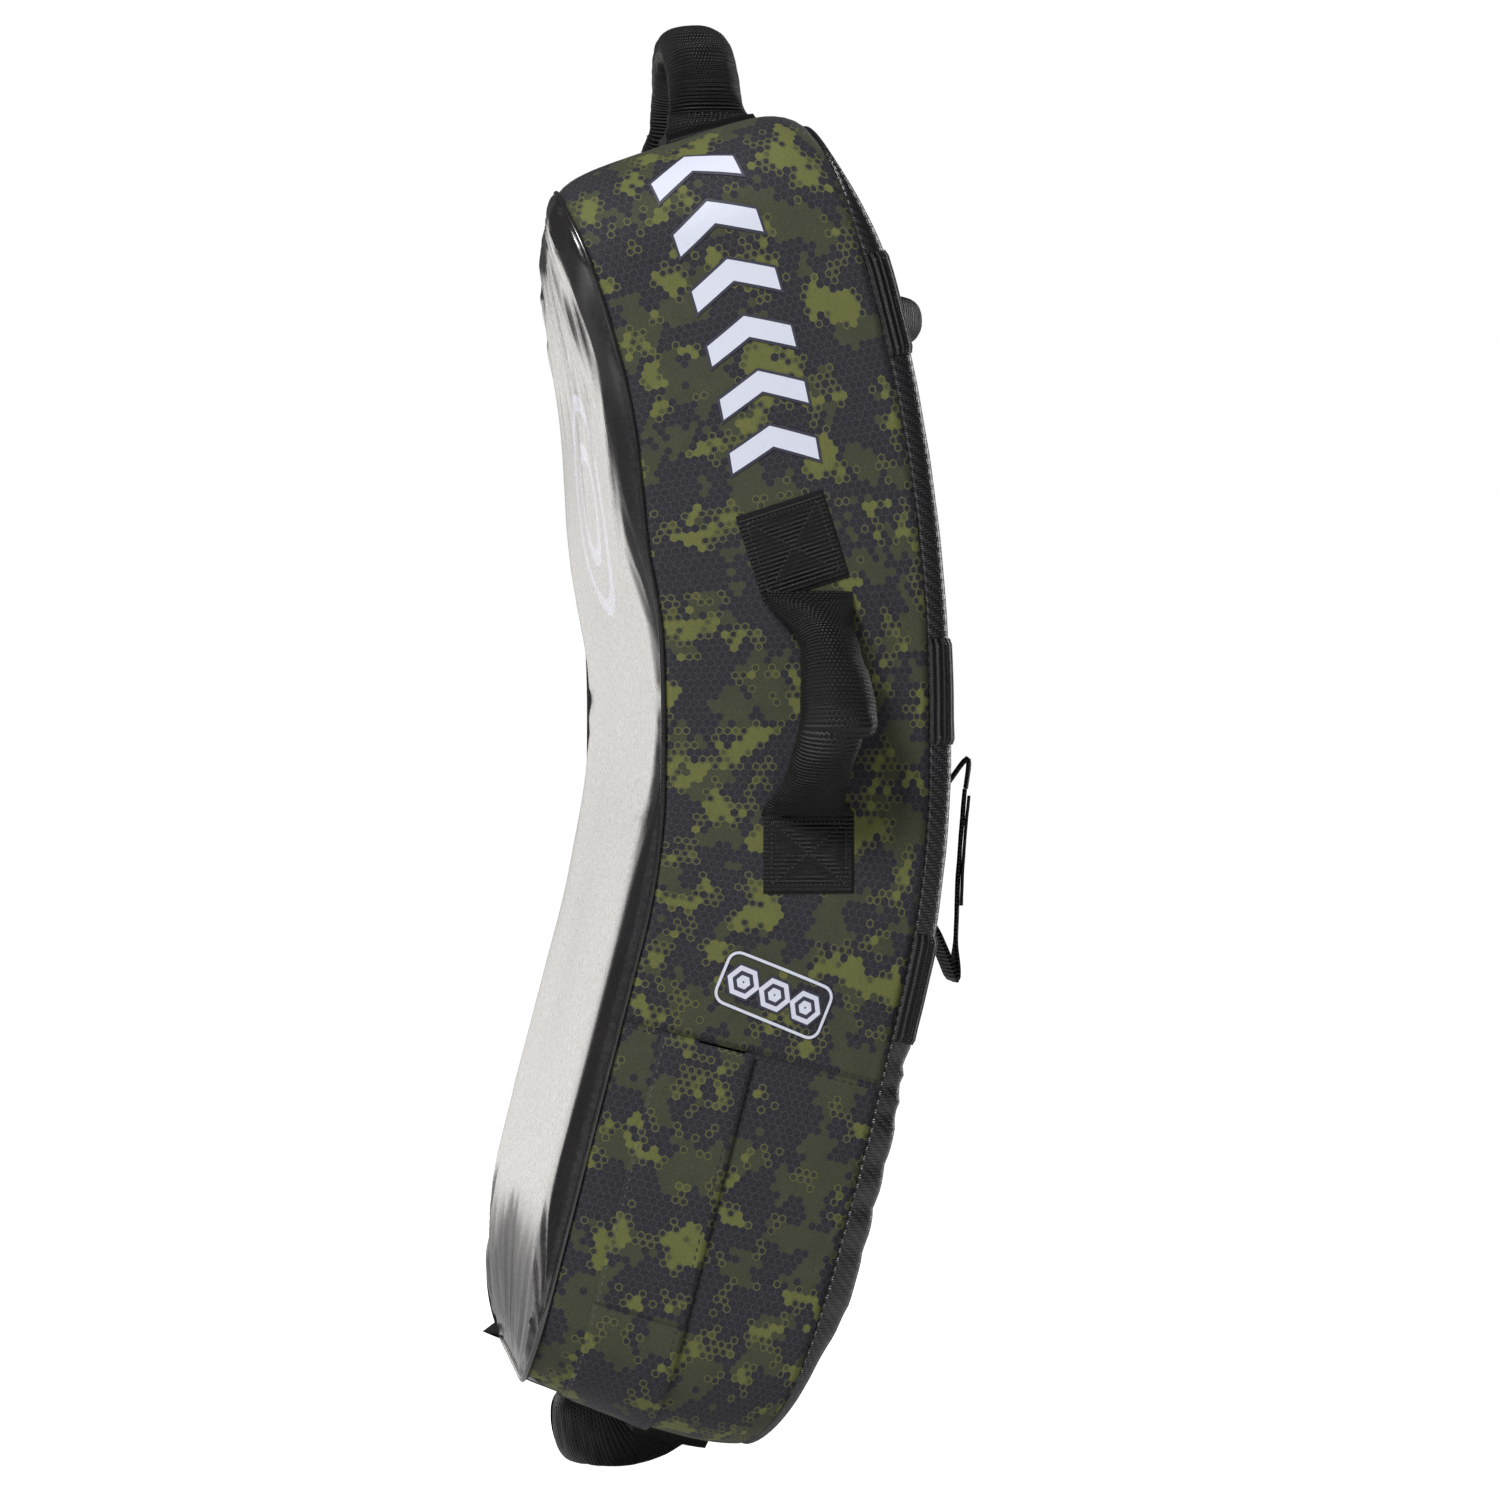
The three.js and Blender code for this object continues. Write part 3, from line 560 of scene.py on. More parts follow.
def webbing_material(name, pitch, tone):
    """Black webbing: ribs across its run, split into yarns along it, with painted shade in the grooves and a
    painted highlight on the crests.
    """
    g = Graph(name)
    u, v, _ = g.split(g.uv())
    along = g.math("ADD", u, g.math("MULTIPLY", g.noise(g.uv(), 9.0), 0.35))
    rib = g.wave(along, pitch)
    offset = g.math("MULTIPLY", g.math("FLOOR", g.math("DIVIDE", along, pitch)), 0.5)
    yarn = g.wave(g.math("ADD", g.math("DIVIDE", v, 1.25), offset), 1.0)
    height = g.math("ADD", g.span(rib, -1.0, 1.0), g.span(yarn, -1.0, 1.0, 0.0, 0.35))
    fuzz = g.noise(g.place(), 0.4, 3.0, 0.7)
    worn = g.noise(g.place(), 24.0, 3.0)
    # painted shade and highlight: the colour follows the rib and yarn height, near black in the grooves and
    # lighter on the crests, scaled by a large random tone noise
    tint = g.math("MULTIPLY", g.span(height, 0.2, 1.25), g.span(worn, 0.3, 0.7, 0.55, 1.0))
    return g.finish(
        Base_Color=g.mix(tint, rgb(3, 3, 4), tone),
        Roughness=g.span(fuzz, 0.3, 0.7, 0.36, 0.52),
        Normal=g.bump(fuzz, 0.15, 0.5, g.bump(height, 0.7)),
        Sheen_Weight=0.01,
        Specular_IOR_Level=0.3,
    )


def thread_material(name, tone):
    g = Graph(name)
    twist = g.noise(g.place(), 0.5, 2.0)
    return g.finish(
        Base_Color=g.mix(twist, tone, rgb(60, 60, 62)),
        Roughness=g.span(twist, 0.3, 0.7, 0.4, 0.6),
        Normal=g.bump(twist, 0.1, 0.5),
    )


def print_material(name, tone):
    """Flat transfer print that lets a little of the cloth's grain through."""
    g = Graph(name)
    grain = g.noise(g.place(), 0.5, 3.0, 0.7)
    worn = g.noise(g.place(), 1.6, 4.0, 0.7)
    return g.finish(
        Base_Color=g.mix(g.span(worn, 0.62, 0.75, 0.0, 0.3), tone, rgb(60, 60, 70)),
        Roughness=g.span(grain, 0.3, 0.7, 0.5, 0.65),
        Normal=g.bump(grain, 0.2, 0.4),
    )


def metal_material():
    """Dark plated metal, finely scratched along its length."""
    g = Graph("zip_metal")
    scratch = g.noise(g.vector("MULTIPLY", g.place(), (0.4, 0.4, 3.0)), 1.5, 4.0)
    return g.finish(
        Base_Color=g.mix(scratch, rgb(34, 34, 36), rgb(62, 62, 66)),
        Metallic=0.85,
        Roughness=g.span(scratch, 0.3, 0.7, 0.28, 0.45),
        Normal=g.bump(scratch, 0.05, 0.4),
    )


def coil_material():
    """Nylon zip coil: the tooth pitch as ribs across its run, with painted shade between the teeth and a
    painted highlight on their crests.
    """
    g = Graph("zip_coil")
    tooth_rise_and_gap_shade = g.wave(g.split(g.place())[2], 1.6)
    return g.finish(
        # painted shade and highlight: the colour runs dark between the teeth and lighter on their crests
        Base_Color=g.mix(g.span(tooth_rise_and_gap_shade, -1.0, 1.0), rgb(14, 14, 15), rgb(44, 44, 47)),
        Roughness=0.42,
        Normal=g.bump(tooth_rise_and_gap_shade, 0.5),
    )


def tape_material(name, tone):
    """Woven zip tape or hook tape with a fine fuzz."""
    g = Graph(name)
    x, _, z = g.split(g.place())
    weave = g.wave(g.math("ADD", z, x), 1.1)
    fuzz = g.noise(g.place(), 0.5, 4.0, 0.7)
    return g.finish(
        Base_Color=g.mix(fuzz, rgb(8, 8, 9), tone),
        Roughness=0.8,
        Normal=g.bump(g.math("ADD", g.span(weave, -1.0, 1.0, 0.0, 0.5), fuzz), 0.3, 0.7),
        Sheen_Weight=0.2,
    )


CAMO = camo_material()
VINYL = vinyl_material("black_vinyl")
STRIKE = vinyl_material("strike_vinyl", printed=True)
TWILL = twill_material()
WEBBING = webbing_material("webbing", 2.3, rgb(15, 14, 16))
SLEEVE = webbing_material("sleeve_cloth", 1.95, rgb(16, 15, 17))
THREAD = thread_material("black_thread", rgb(10, 10, 12))
PATCH_THREAD = thread_material("patch_thread", rgb(44, 43, 46))
GREY_THREAD = thread_material("grey_thread", rgb(100, 101, 98))
PRINT = print_material("pale_print", rgb(196, 199, 213))
PRINT_EDGE = print_material("dark_print", rgb(44, 44, 60))
METAL = metal_material()
COIL = coil_material()
TAPE = tape_material("zip_tape", rgb(30, 30, 33))
HOOK = tape_material("hook_tape", rgb(24, 24, 27))


# ---- gusset
def gusset_piece(node, s_from, s_to, depth_from, depth_to, *inside):
    """The cloth over a gusset node, and over what is inside it."""
    rows = spaced(s_from, s_to, 5.0)
    columns = spaced(depth_from, depth_to, 5.0)
    piece = grid_sheet(f"{node}_cloth", rows, columns, gusset_point, plain, CAMO)
    fit(thicken(piece, 1.2), "camo_fabric", node, *inside)


def build_gussets():
    seam = near(CROSS_SEAM)
    gusset_piece("upper_gusset", seam, PERIMETER - seam, -HALF_DEPTH, HALF_DEPTH, "core_foam")
    gusset_piece("lower_gusset_front", -seam, seam, -HALF_DEPTH, ZIP_DEPTH - ZIP_HALF)
    gusset_piece("lower_gusset_back", -seam, seam, ZIP_DEPTH + ZIP_HALF, HALF_DEPTH)


# ---- padded faces
ROLL = 9.5  # radius of the rolled edge
ROLL_RUN = ROLL * math.pi / 2
GROW = ROLL_RUN - ROLL
FLAT_MIDDLE = (UPPER_LENGTH - LOWER_LENGTH) / 2
FLAT_HALF_LENGTH = (UPPER_LENGTH + LOWER_LENGTH) / 2 + GROW
FLAT_HALF_WIDTH = WIDTH / 2 + GROW
FLAT_CORNER = CORNER + GROW
FACE_STEP = 5.0
ROLL_STEP = 1.7


def roll_profile(run):
    """Inset, rise and turn at a distance run up the rolled edge from its seam."""
    turn = min(run / ROLL_RUN, 1.0) * math.pi / 2
    inset = ROLL * (1 - math.cos(turn)) - 1.3 * math.sin(2 * turn)
    return inset, math.sin(turn), turn


def crown(side, length):
    """How far a face stands beyond its seam; the strike cover is drawn tight across the hollow bend."""
    if side > 0:
        fuller = 1 + 0.4 * smooth(-135, -200, length) * smooth(-330, -290, length)
        return CROWN * fuller * (1 - 0.72 * smooth(245, 320, length)) * (1 - 0.5 * smooth(-290, -372, length))
    proud = 0.4 + 6.8 * smooth(20, -80, length) + 4.2 * smooth(25, 100, length)
    return proud * (1 - 0.85 * smooth(-270, -372, length))


def nearest_edge(flat_length, flat_width):
    """Distance to the flat sheet's edge, and the direction to it."""
    dl = flat_length - FLAT_MIDDLE
    past_l = abs(dl) - (FLAT_HALF_LENGTH - FLAT_CORNER)
    past_w = abs(flat_width) - (FLAT_HALF_WIDTH - FLAT_CORNER)
    if past_l > 0 and past_w > 0:
        reach = math.hypot(past_l, past_w)
        to_edge, nl, nw = FLAT_CORNER - reach, past_l / reach, past_w / reach
    elif FLAT_HALF_LENGTH - abs(dl) < FLAT_HALF_WIDTH - abs(flat_width):
        to_edge, nl, nw = FLAT_HALF_LENGTH - abs(dl), 1.0, 0.0
    else:
        to_edge, nl, nw = FLAT_HALF_WIDTH - abs(flat_width), 0.0, 1.0
    return max(to_edge, 0.0), math.copysign(nl, dl), math.copysign(nw, flat_width)


def face_point(side, flat_length, flat_width, out, relief):
    """A point on a padded face. The flat place is measured over the rolled edge, GROW past the outline."""
    to_edge, nl, nw = nearest_edge(flat_length, flat_width)
    height = 1.0
    move = 0.0
    turn = math.pi / 2
    if to_edge < ROLL_RUN:
        inset, height, turn = roll_profile(to_edge)
        move = (to_edge - GROW) - inset
    length = flat_length + nl * move
    width = flat_width + nw * move
    lift = out + relief(flat_length, flat_width, to_edge)
    side_out = lift * math.cos(turn)
    rise = height * crown(side, length) + lift * math.sin(turn)
    return bent(length + nl * side_out, width + nw * side_out, side * (HALF_DEPTH + rise))


def flat_rows():
    """Stations along the face and its half width at each, finer over the rolled ends."""
    distances = spaced(0, ROLL_RUN, ROLL_STEP) + spaced(ROLL_RUN, FLAT_CORNER, FACE_STEP * 0.7)[1:]
    low = [FLAT_MIDDLE - FLAT_HALF_LENGTH + d for d in distances]
    high = [FLAT_MIDDLE + FLAT_HALF_LENGTH - d for d in reversed(distances)]
    rows = []
    for length in low + spaced(low[-1], high[0], FACE_STEP)[1:-1] + high:
        past = max(abs(length - FLAT_MIDDLE) - (FLAT_HALF_LENGTH - FLAT_CORNER), 0.0)
        squeeze = FLAT_CORNER - math.sqrt(max(FLAT_CORNER**2 - past**2, 0.0))
        rows.append((length, FLAT_HALF_WIDTH - squeeze))
    return rows


def flat_columns():
    """Shares of the half width, from -1 to 1, finer over the rolled sides."""
    edge = [d / FLAT_HALF_WIDTH for d in spaced(0, ROLL_RUN, ROLL_STEP)]
    inner = spaced(1 - edge[-1], edge[-1] - 1, FACE_STEP / FLAT_HALF_WIDTH)[1:-1]
    return [d - 1 for d in edge] + [-v for v in inner] + [1 - d for d in reversed(edge)]


def face_cover(name, side, relief, material):
    def place(row, share):
        return face_point(side, row[0], row[1] * share, 0.0, relief)

    def texture(row, share):
        return row[0], row[1] * share

    return grid_sheet(name, flat_rows(), flat_columns(), place, texture, material)


def ridge(l, w, l0, w0, l1, w1, spread, height):
    """A tapered fold from one flat place to another."""
    dl, dw = l1 - l0, w1 - w0
    run = math.hypot(dl, dw)
    t = ((l - l0) * dl + (w - w0) * dw) / run**2
    off = abs((l - l0) * dw - (w - w0) * dl) / run
    taper = smooth(-0.15, 0.25, t) * (1 - smooth(0.6, 1.15, t))
    return height * taper * math.exp(-((off / spread) ** 2))


def gathers(l, w, end, reach, height):
    """Folds that run up the face from one end's seam, as the sheet is gathered into it."""
    away = abs(end - l)
    spread = w * (1 - 0.25 * away / reach)
    wave = math.sin(2 * math.pi * spread / 31 + 0.8 * math.sin(spread / 19))
    wave += 0.5 * math.sin(spread / 2.9 + 1.0)
    return height * wave * smooth(2, 18, away) * (1 - smooth(0.25 * reach, reach, away))


# Folds drawn into the strike cover: from (length, width) to (length, width), spread and height.
STRIKE_FOLDS = [
    (318, -150, 205, -135, 5.0, 1.6),
    (312, -120, 170, -70, 8.0, 1.6),
    (300, -60, 150, 10, 10.0, 1.4),
    (225, -165, 110, -130, 5.0, 1.2),
    (-44, -172, -58, -120, 3.0, 1.0),
]


def strike_relief(l, w, to_edge):
    """The strike cover's unevenness: pillowing towards the near side, gathers, folds and a seam ridge."""
    flat = smooth(2, ROLL_RUN + 6, to_edge)
    fuller = 7.0 * smooth(60, 190, l) + 4.5 * smooth(-20, -120, l) * smooth(-372, -300, l)
    nearness = max(0.5 - w / WIDTH, 0.0) ** 0.7
    out = fuller * (1 - math.exp(-max(to_edge - 2, 0) / 15)) * nearness
    out += 0.7 * ripple(l / 170, w / 130, 1.3) * flat
    out += 0.05 * ripple(l / 40, w / 30, 5.2) * flat
    out += 0.2 * ripple(l / 22, w / 40, 9.4) * math.exp(-to_edge / 9)
    out += 0.9 * math.exp(-(((to_edge - 6.5) / 1.6) ** 2)) * smooth(40, -40, l)
    out += gathers(l, w, UPPER_LENGTH, 150, 0.9) + gathers(l, w, -LOWER_LENGTH, 95, 1.1)
    return out + sum(ridge(l, w, *fold) for fold in STRIKE_FOLDS)


# Where the back sheet puckers at its edge below the lower band: length and depth.
BACK_PUCKERS = [(-158, 3.0), (-171, 3.5), (-186, 2.5), (-214, 1.6), (-238, 2.2), (-262, 1.4), (-300, 1.2)]


def back_relief(l, w, to_edge):
    """The back sheet's own unevenness, with puckers drawn into its edge."""
    flat = smooth(2, ROLL_RUN + 6, to_edge)
    out = 1.2 * ripple(l / 90, w / 90, 21.3) * flat
    out += 0.5 * ripple(l / 28, w / 24, 15.2) * flat
    out += 0.4 * ripple(l / 21, w / 40, 19.4) * math.exp(-to_edge / 9)
    fade = math.exp(-max(to_edge - 4, 0) / 22) * smooth(0, 5, to_edge)
    return out - fade * sum(depth * math.exp(-(((l - at) / 5.0) ** 2)) for at, depth in BACK_PUCKERS)


def back_point(length, width, out):
    return face_point(1, length, width, out, back_relief)


def build_faces():
    strike = face_cover("strike_cover", -1, strike_relief, STRIKE)
    strike.data.flip_normals()
    billow(strike, cap=2.0)
    fit(thicken(strike, 1.2), "strike_vinyl", "strike_panel", "strike_foam_layer")
    back = face_cover("back_cover", 1, back_relief, TWILL)
    fit(thicken(back, 1.2), "back_vinyl", "back_panel", "back_foam_layer")


def build_cord():
    """The cord sewn into the front seam."""
    sides = 10
    step = 4.0
    stations = spaced(0, PERIMETER, step)[:-1]

    def place(i, j):
        s = stations[i]
        turn = 2 * math.pi * j / sides
        length, width, nl, nw = around(s)
        total = 0.8 + 0.35 * ripple(s / 30, 0, 2.2) + CORD_RADIUS * math.cos(turn)
        depth = -HALF_DEPTH - 0.4 + CORD_RADIUS * math.sin(turn)
        return bent(length + nl * total, width + nw * total, depth)

    def texture(i, j):
        return step * i, j

    count = len(stations)
    cord = sheet("seam_cord", count, sides, place, texture, VINYL, round_rows=True, round_columns=True)
    fit(cord, "strike_vinyl", "front_piping")


# ---- surfaces that things are sewn to
def side_surface(side, x, z, out):
    """The gusset's surface on one side, at a place given by x and z of the row frame."""
    length = z
    for _ in range(5):
        cx, cz, lean = centre(length)
        length += -math.sin(lean) * (x - FACE_X - cx) + math.cos(lean) * (z - cz)
    cx, cz, lean = centre(length)
    depth = math.cos(lean) * (x - FACE_X - cx) + math.sin(lean) * (z - cz)
    relief = gusset_relief(near(length), depth)
    return Vector((x, side * (WIDTH / 2 + relief + out), z))


class SideHandle:
    """Local (u, v, out): towards the back, up the shield, and out of the side."""

    length = 20.0
    depth = 3.0

    def __init__(self, side):
        self.side = side
        x, z, _ = centre(self.length)
        self.x = FACE_X + x + self.depth
        self.z = z

    def place(self, u, v, out):
        return Vector((self.x + u, self.side * (WIDTH / 2 + out), self.z + v))

    def on_surface(self, u, v, out):
        return side_surface(self.side, self.x + u, self.z + v, out)


class EndHandle:
    """Local (u, v, out): to the back at the top or the front at the bottom; across; out of the end."""

    def __init__(self, top):
        self.top = top
        self.length = UPPER_LENGTH if top else -LOWER_LENGTH
        self.depth = 22.0 if top else 27.0
        self.lean = math.radians(20 if top else 66)
        up, across, back = bent_axes(self.length)
        self.out_axis = up if top else -up
        self.u_axis = back if top else -back
        self.across = across
        self.origin = bent(self.length, 0, self.depth)

    def place(self, u, v, out):
        """In the handle's own leaning plane, turned flat onto the end at its feet."""
        turn = self.lean * (smooth(0, 20, out) if self.top else smooth(8, 45, out))
        turned_u = u * math.cos(turn) + out * math.sin(self.lean)
        turned_out = -u * math.sin(turn) + out * math.cos(self.lean)
        return self.origin + self.u_axis * turned_u + self.across * v + self.out_axis * turned_out

    def on_surface(self, u, v, out):
        s = PERIMETER / 2 + v if self.top else -v
        return gusset_point(s, self.depth + (u if self.top else -u), out)


class BackSpot:
    """Local (u, v, out): down the shield, across it, and out of its back, from a place on a band."""

    def __init__(self, length, lift, lean):
        up, across, back = bent_axes(length)
        self.origin = bent(length, 0, HALF_DEPTH + CROWN + lift)
        self.down, self.across, self.back = -up, across, back
        self.length = length
        self.lean = lean

    def place(self, u, v, out):
        return self.origin + self.down * u + self.across * v + self.back * out

    def leaning(self, u, v, out):
        turned_u = u * math.cos(self.lean) + out * math.sin(self.lean)
        turned_out = -u * math.sin(self.lean) + out * math.cos(self.lean)
        return self.place(turned_u, v, turned_out)

    def on_surface(self, u, v, out):
        return back_point(self.length - u, v, out + 2.3)


# ---- webbing patches with box-and-cross stitching
BOX_INSET_RUN = 5.0
BOX_INSET_ACROSS = 4.5


def patch_relief(a, b, half_a, half_b):
    """How the stitching pulls a patch down, a along its run and b across it."""
    inset_a = half_a - BOX_INSET_RUN
    inset_b = half_b - BOX_INSET_ACROSS
    lines = [
        max(abs(abs(a) - inset_a), abs(b) - inset_b, 0),
        max(abs(abs(b) - inset_b), abs(a) - inset_a, 0),
    ]
    if abs(a) < inset_a and abs(b) < inset_b:
        slope = inset_b / inset_a
        run = math.hypot(1, slope)
        lines += [abs(b - a * slope) / run, abs(b + a * slope) / run]
    puff = 1.5 * (1 - math.exp(-((min(lines) / 3.4) ** 2)))
    rim = smooth(0, 2.2, min(half_a - abs(a), half_b - abs(b)))
    return puff * rim + 0.25 * ripple(a / 6, b / 6, 4.4)


def webbing_patch(where, spot, middle, turn, run, across, lift=0.9):
    """A patch over an anchor: its middle as (u, v), its turn, and its size along v and across it."""
    name = f"{where}_patch"
    half_a, half_b = run / 2, across / 2
    cos, sin = math.cos(turn), math.sin(turn)

    def on_patch(a, b, out):
        return spot.on_surface(middle[0] + b * cos - a * sin, middle[1] + b * sin + a * cos, out)

    def place(a, b):
        edge = min(half_a - abs(a), half_b - abs(b))
        return on_patch(a, b, 0.15 + (lift + patch_relief(a, b, half_a, half_b)) * smooth(-0.6, 1.0, edge))

    rows = spaced(-half_a, half_a, 1.6)
    columns = spaced(-half_b, half_b, 1.6)
    patch = grid_sheet(name, rows, columns, place, plain, WEBBING)
    a, b = half_a - BOX_INSET_RUN, half_b - BOX_INSET_ACROSS
    corners = [(-a, -b), (-a, b), (a, b), (a, -b)]
    lines = list(zip(corners, corners[1:] + corners[:1]))
    lines += [(corners[0], corners[2]), (corners[1], corners[3])]
    seams = []
    for k, (start, end) in enumerate(lines):
        def along(t, start=start, end=end):
            a, b = (p + (q - p) * t for p, q in zip(start, end))
            return raised(lambda out: on_patch(a, b, out), lift + 0.2)
        pitch = 2.6 / math.dist(start, end)
        seams.append(stitch_row(f"{name}_seam_{k}", along, 0.0, 1.0, pitch, PATCH_THREAD))
    fit(join_pieces(patch, seams), "webbing", f"{where}_anchor")


# ---- padded sleeves
def sleeve_ring(fine, travelled, reach):
    """The knot values at a distance along a sleeve, and its outward direction there in (v, out)."""
    k = min(max(i for i, d in enumerate(travelled) if d <= reach + 1e-6), len(fine) - 2)
    f = (reach - travelled[k]) / max(travelled[k + 1] - travelled[k], 1e-6)
    here = [a + (b - a) * f for a, b in zip(fine[k], fine[k + 1])]
    dv = fine[k + 1][0] - fine[k][0]
    do = fine[k + 1][1] - fine[k][1]
    size = max(math.hypot(dv, do), 1e-6) * (-1 if dv < 0 else 1)
    return here, -do / size, dv / size


def sleeve(name, frame_of, knots, sides=36, seed=0.0, wrinkle=1.0, seams=()):
    """A padded sleeve swept through knots of its path (v, out), its two edges and its half depth."""
    fine = [spline(knots, k / 200) for k in range(201)]
    travelled = travel([knot[:2] for knot in fine])
    stations = spaced(0, travelled[-1], 1.6)
    rings = [sleeve_ring(fine, travelled, reach) for reach in stations]
    girth = max(ring[0][3] for ring in rings) * 2.2

    def place(i, j):
        (v, out, left, right, thick), nv, no = rings[i]
        turn = 2 * math.pi * j / sides
        c, s = math.cos(turn), math.sin(turn)
        u = (left + right) / 2 + (right - left) / 2 * math.copysign(abs(c) ** 0.85, c)
        tall = thick * math.copysign(abs(s) ** 0.85, s)
        crease = 0.45 * ripple(stations[i] / 3.4, turn * 1.3, seed) * wrinkle
        crease += 0.9 * ripple(stations[i] / 9.0, turn * 0.8, seed + 4) * wrinkle
        u += crease * 0.6 * c
        tall += crease * s
        return frame_of(u, v + nv * tall, out + no * tall)

    def texture(i, j):
        return stations[i], girth * j / sides

    cloth = sheet(name, len(rings), sides, place, texture, SLEEVE, round_columns=True)
    rows = []
    for k, reach in enumerate(seams):
        i = min(int(len(stations) * reach / stations[-1]), len(stations) - 1)
        v, out, left, right, _ = rings[i][0]
        inside = frame_of((left + right) / 2, v, out)

        def along(turn, i=i, inside=inside):
            skin = place(i, turn * sides)
            away = (skin - inside).normalized()
            return skin + away * 0.3, away

        pitch = 1.5 / (right - left + 12)
        rows.append(stitch_row(f"{name}_seam_{k}", along, 0.0, 1.0, pitch, PATCH_THREAD))
    return billow(cloth, rows)


def billow(cloth, rows=(), cap=1.6):
    """Swell a sleeve or cover over its foam with a short cloth simulation, then join its stitching to it."""
    rest = [v.co.copy() for v in cloth.data.vertices]
    group = cloth.vertex_groups.new(name="sewn")
    for index, hold in enumerate(edge_hold(cloth)):
        group.add([index], hold, "REPLACE")
    filling = cloth.modifiers.new("filling", "CLOTH")
    filling.settings.vertex_group_mass = "sewn"
    filling.settings.use_pressure = True
    filling.settings.uniform_pressure_force = 4.0
    filling.settings.effector_weights.gravity = 0
    filling.point_cache.frame_start = 1
    filling.point_cache.frame_end = SIM_FRAMES
    scene = bpy.context.scene
    for step in range(1, SIM_FRAMES + 1):
        scene.frame_set(step)
    filled = cloth.evaluated_get(bpy.context.evaluated_depsgraph_get()).to_mesh()
    moves = [v.co - start for v, start in zip(filled.vertices, rest)]
    cloth.modifiers.remove(filling)
    scene.frame_set(1)
    for vert, start, move in zip(cloth.data.vertices, rest, moves):
        reach = move.length / MM
        vert.co = start + move * min(1.0, cap / max(reach, 1e-6))
    return join_pieces(cloth, rows)


def edge_hold(cloth):
    """1 for each vertex on an open edge, and 0 for the rest."""
    faces = {}
    for face in cloth.data.polygons:
        for key in face.edge_keys:
            faces[key] = faces.get(key, 0) + 1
    rim = {vert for key, count in faces.items() if count == 1 for vert in key}
    return [1.0 if index in rim else 0.0 for index in range(len(cloth.data.vertices))]


# ---- handles
SIDE_UPPER_KNOTS = [
    (61, 2.2, -25, 25, 1.0),
    (55, 5.5, -23.5, 25, 2.0),
    (49, 12, -18, 24.5, 4.0),
    (41, 20, -11, 24, 7.5),
    (32, 28, -8.5, 24.5, 10.5),
    (20, 35, -9, 27, 12.0),
    (8, 39.5, -9.3, 30, 12.5),
    (-4, 42, -9.6, 31.5, 12.5),
    (-12, 42.5, -9.6, 31.5, 11.5),
    (-16, 41, -9.0, 29, 9.5),
]
SIDE_LOWER_KNOTS = [
    (-8, 42, -9.5, 23, 9.5),
    (-14, 41.5, -10.5, 24.5, 11.5),
    (-22, 38, -12, 23, 12.0),
    (-31, 32, -13.5, 21, 11.5),
    (-40, 24, -15, 19.5, 9.5),
    (-48, 15, -18.5, 19.5, 6.5),
    (-54, 8, -22.5, 20.5, 3.5),
    (-59, 3.5, -25, 25, 1.6),
    (-61, 2.2, -25, 25, 1.0),
]
TOP_HALF_KNOTS = [
    (-59, 4.5, -17, 47, 1.6),
    (-57, 9, -17, 47, 4.5),
    (-53.5, 13, -16.5, 43.5, 6.5),
    (-49, 17, -15, 37, 6.0),
    (-45.5, 20.5, -13.5, 33, 4.6),
    (-43.5, 27, -12.5, 29.5, 7.5),
    (-40.5, 38, -12, 28.5, 10.5),
    (-34, 50, -12, 27.5, 12.0),
    (-23, 60, -12.5, 27, 12.0),
    (-11, 65, -12.5, 26, 12.0),
    (0, 66, -12, 26, 12.0),
]
BOTTOM_HALF_KNOTS = [
    (-51, 3.5, -31, 27, 0.96),
    (-49.5, 7, -31, 26, 2.4),
    (-46, 14, -31, 24.5, 3.6),
    (-41, 24, -30, 21, 5.6),
    (-34, 36, -26.5, 18, 8.4),
    (-24, 46, -24, 17, 9.6),
    (-11, 52, -23.5, 17, 10.0),
    (0, 53, -23.5, 17, 10.0),
]
GRIP_HALF_KNOTS = [
    (-54, 1.5, -12, 12, 1.0),
    (-50, 4, -12, 12, 3.0),
    (-44, 10, -12, 12, 7.0),
    (-34, 18, -12.5, 12.5, 10.0),
    (-20, 25, -12.5, 12.5, 11.5),
    (0, 28, -13, 13, 12.0),
]


def mirrored(knots, side):
    """A half handle's knots for one side."""
    return [(side * -v, *rest) for v, *rest in knots]


def hand(side):
    return "left" if side < 0 else "right"


def build_side_handle(side):
    name = f"{hand(side)}_handle"
    spot = SideHandle(side)
    webbing_patch(f"{name}_upper", spot, (-7.7, 85.5), math.radians(18), 50, 50)
    webbing_patch(f"{name}_lower", spot, (1, -81), 0.0, 44, 50)
    first = sleeve(f"{name}_cloth_upper", spot.place, SIDE_UPPER_KNOTS, seed=1.0 + side)
    second = sleeve(f"{name}_cloth_lower", spot.place, SIDE_LOWER_KNOTS, seed=6.0 + side, wrinkle=0.8)
    first_bend = (spot.place(0, 62, 0), spot.place(0, 28, 0))
    second_bend = (spot.place(0, -62, 0), spot.place(0, -30, 0))
    fit(first, "sleeve", f"{name}_sleeve", f"{name}_strap", body=name, blend=first_bend)
    fit(second, "sleeve", f"{name}_padding", body=name, blend=second_bend)


